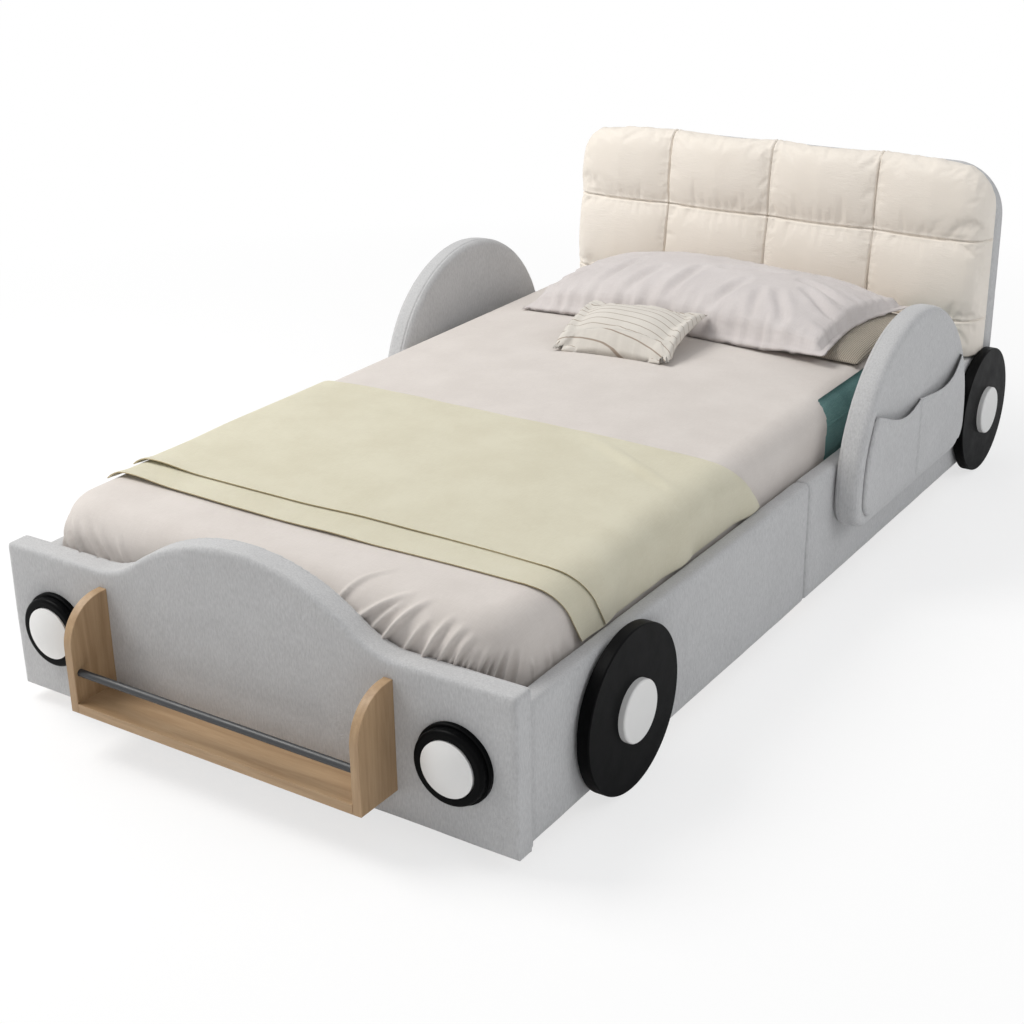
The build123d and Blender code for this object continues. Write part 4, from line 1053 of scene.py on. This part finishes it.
def make_pillow(
    name, piece_name, body, material,
    centre, size, turn, draw_in, cells, pressure, cap, grow, wrinkles,
):
    shape, tree = pillow_shape(name, centre, size, turn, draw_in, cells)
    piece = put_in_scene(shape, piece_name)
    inflate(piece, pressure, cap, grow=grow, floor_under=under_of(tree))
    reshape(piece, wrinkles)
    piece.data.materials.append(material)
    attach(piece, body)
    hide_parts(name)
    return piece


def worn_in(lines, width, depth, pucker, flange):
    """Soft dents along lines, puckers running in from the seam, and a flat sewn flange."""
    def change(shape):
        rim = shape.verts.layers.float["rim"]
        level = shape.verts.layers.float["level"]
        girth = shape.verts.layers.float["girth"]
        for vert in shape.verts:
            upper = vert.normal.z > 0.1
            if upper:
                for start, end in lines:
                    run = Vector((end[0] - start[0], end[1] - start[1]))
                    off = Vector((vert.co.x - start[0], vert.co.y - start[1]))
                    share = max(0.0, min(1.0, off.dot(run) / run.length_squared))
                    near = (off - run * share).length / width
                    if near < 3:
                        vert.co.z -= depth * math.sin(math.pi * (0.15 + 0.7 * share)) * (
                            math.exp(-near * near) - 0.45 * math.exp(-((near - 1.6) ** 2))
                        )
            wave = noise.noise(Vector((vert[girth] * 34, 3.0 if upper else 9.0, vert[rim] * 5)))
            wave += 0.5 * noise.noise(Vector((vert[girth] * 75, 5.0, vert[rim] * 9)))
            vert.co += (
                vert.normal * wave * pucker
                * math.exp(-max(0.0, vert[rim] - flange) / 0.045) * min(1.0, vert[rim] / 0.01 + 0.2)
            )
            if flange and vert[rim] < flange + 0.006:
                share = min(1.0, (flange + 0.006 - vert[rim]) / 0.006)
                flat = vert[level] + (0.0013 if vert.normal.z > 0 else -0.0013)
                flat += 0.0035 * noise.noise(Vector((vert[girth] * 22, 1.0, 1.0))) * (1 - vert[rim] / (flange + 0.006))
                vert.co.z += (max(flat, vert[level] - 0.004) - vert.co.z) * 0.92 * share
    return change


ribbed, tree, shader = cloth_material("ribbed_cotton", rib_pale, rib_hollow_shade, 900.0, 0.0002, 0.15, "UV")
place = next(node for node in tree.nodes if node.type == "TEX_COORD")
apart = add_node(tree, "SeparateXYZ", {0: place.outputs["UV"]})
turns = maths(tree, "MULTIPLY", apart.outputs[0], 2 * math.pi * 220)
rib_relief_and_shade = maths(tree, "SINE", turns.outputs[0])
rib_relief_and_shade = add_node(tree, "MapRange", {"Value": rib_relief_and_shade.outputs[0], "From Min": -1.0, "From Max": 1.0})
# The rib wave sets the colour as well as the relief: it paints shade into each hollow between the ribs.
tree.links.new(colour_between(tree, rib_relief_and_shade.outputs[0], rib_hollow_shade, rib_pale), shader.inputs["Base Color"])
add_relief(tree, shader, rib_relief_and_shade.outputs[0], 0.0022)
make_pillow(
    "pillow_ribbed", "ribbed_pillow", "ribbed_set", ribbed,
    centre=(0.050, 0.626125), size=(0.850, 0.400), turn=0, draw_in=0.03, cells=(90, 44),
    pressure=1.5, cap=0.005, grow=0.0, wrinkles=lambda shape: ease(shape, 0.0015),
)

smooth_cotton = cloth_material("pillow_cotton", pillow_pale, pillow_dark, 1300.0, 0.00014, 0.12, "UV")[0]
main_creases = (
    ((-0.20, 0.50), (-0.17, 0.62)), ((-0.02, 0.47), (0.00, 0.60)), ((0.10, 0.46), (0.13, 0.57)),
    ((0.28, 0.44), (0.22, 0.54)), ((0.34, 0.60), (0.24, 0.63)), ((-0.33, 0.50), (-0.26, 0.58)),
    ((0.33, 0.72), (0.25, 0.70)), ((0.36, 0.52), (0.27, 0.58)), ((0.20, 0.45), (0.18, 0.53)),
    ((-0.12, 0.48), (-0.09, 0.57)), ((-0.30, 0.66), (-0.20, 0.68)), ((0.05, 0.62), (0.17, 0.66)),
)
make_pillow(
    "pillow_main", "main_pillow", "pillow_set", smooth_cotton,
    centre=(0.018, 0.626125), size=(0.800, 0.450), turn=-3, draw_in=0.06, cells=(120, 68),
    pressure=3.0, cap=0.012, grow=0.05,
    wrinkles=worn_in(main_creases, width=0.012, depth=0.009, pucker=0.010, flange=0.022),
)

striped, tree, shader = cloth_material(
    "striped_cotton", cushion_pale, (0.71, 0.67, 0.61, 1.0), 1000.0, 0.0002, 0.12, "UV",
)
place = next(node for node in tree.nodes if node.type == "TEX_COORD")
turned = add_node(tree, "Mapping", {"Vector": place.outputs["UV"], "Rotation": (0, 0, math.radians(8))})
wave = add_node(tree, "TexNoise", {"Vector": place.outputs["UV"], "Scale": 9.0, "Detail": 1.0})
apart = add_node(tree, "SeparateXYZ", {0: turned.outputs[0]})
shift = maths(tree, "MULTIPLY", wave.outputs["Fac"], 0.006)
line = maths(tree, "ADD", apart.outputs[1], shift.outputs[0])
line = maths(tree, "PINGPONG", line.outputs[0], 0.0105)
line = add_node(
    tree, "MapRange",
    {"Value": line.outputs[0], "From Min": 0.0007, "From Max": 0.0013, "To Min": 0.8, "To Max": 0.0},
)
base = shader.inputs["Base Color"].links[0].from_socket
tree.links.new(
    add_node(tree, "Mix", {0: line.outputs[0], 6: base, 7: stripe_brown}, data_type="RGBA").outputs[2],
    shader.inputs["Base Color"],
)
cushion_creases = (
    ((0.06, 0.24), (0.02, 0.30)), ((0.09, 0.27), (0.04, 0.31)),
    ((-0.12, 0.24), (-0.07, 0.29)), ((0.08, 0.38), (0.04, 0.34)),
)
make_pillow(
    "striped_cushion", "striped_cushion_cotton", "cushion_set", striped,
    centre=(-0.024, 0.303125), size=(0.275, 0.225), turn=6, draw_in=0.07, cells=(64, 54),
    pressure=4.0, cap=0.012, grow=0.06,
    wrinkles=worn_in(cushion_creases, width=0.008, depth=0.005, pucker=0.0045, flange=0.0),
)
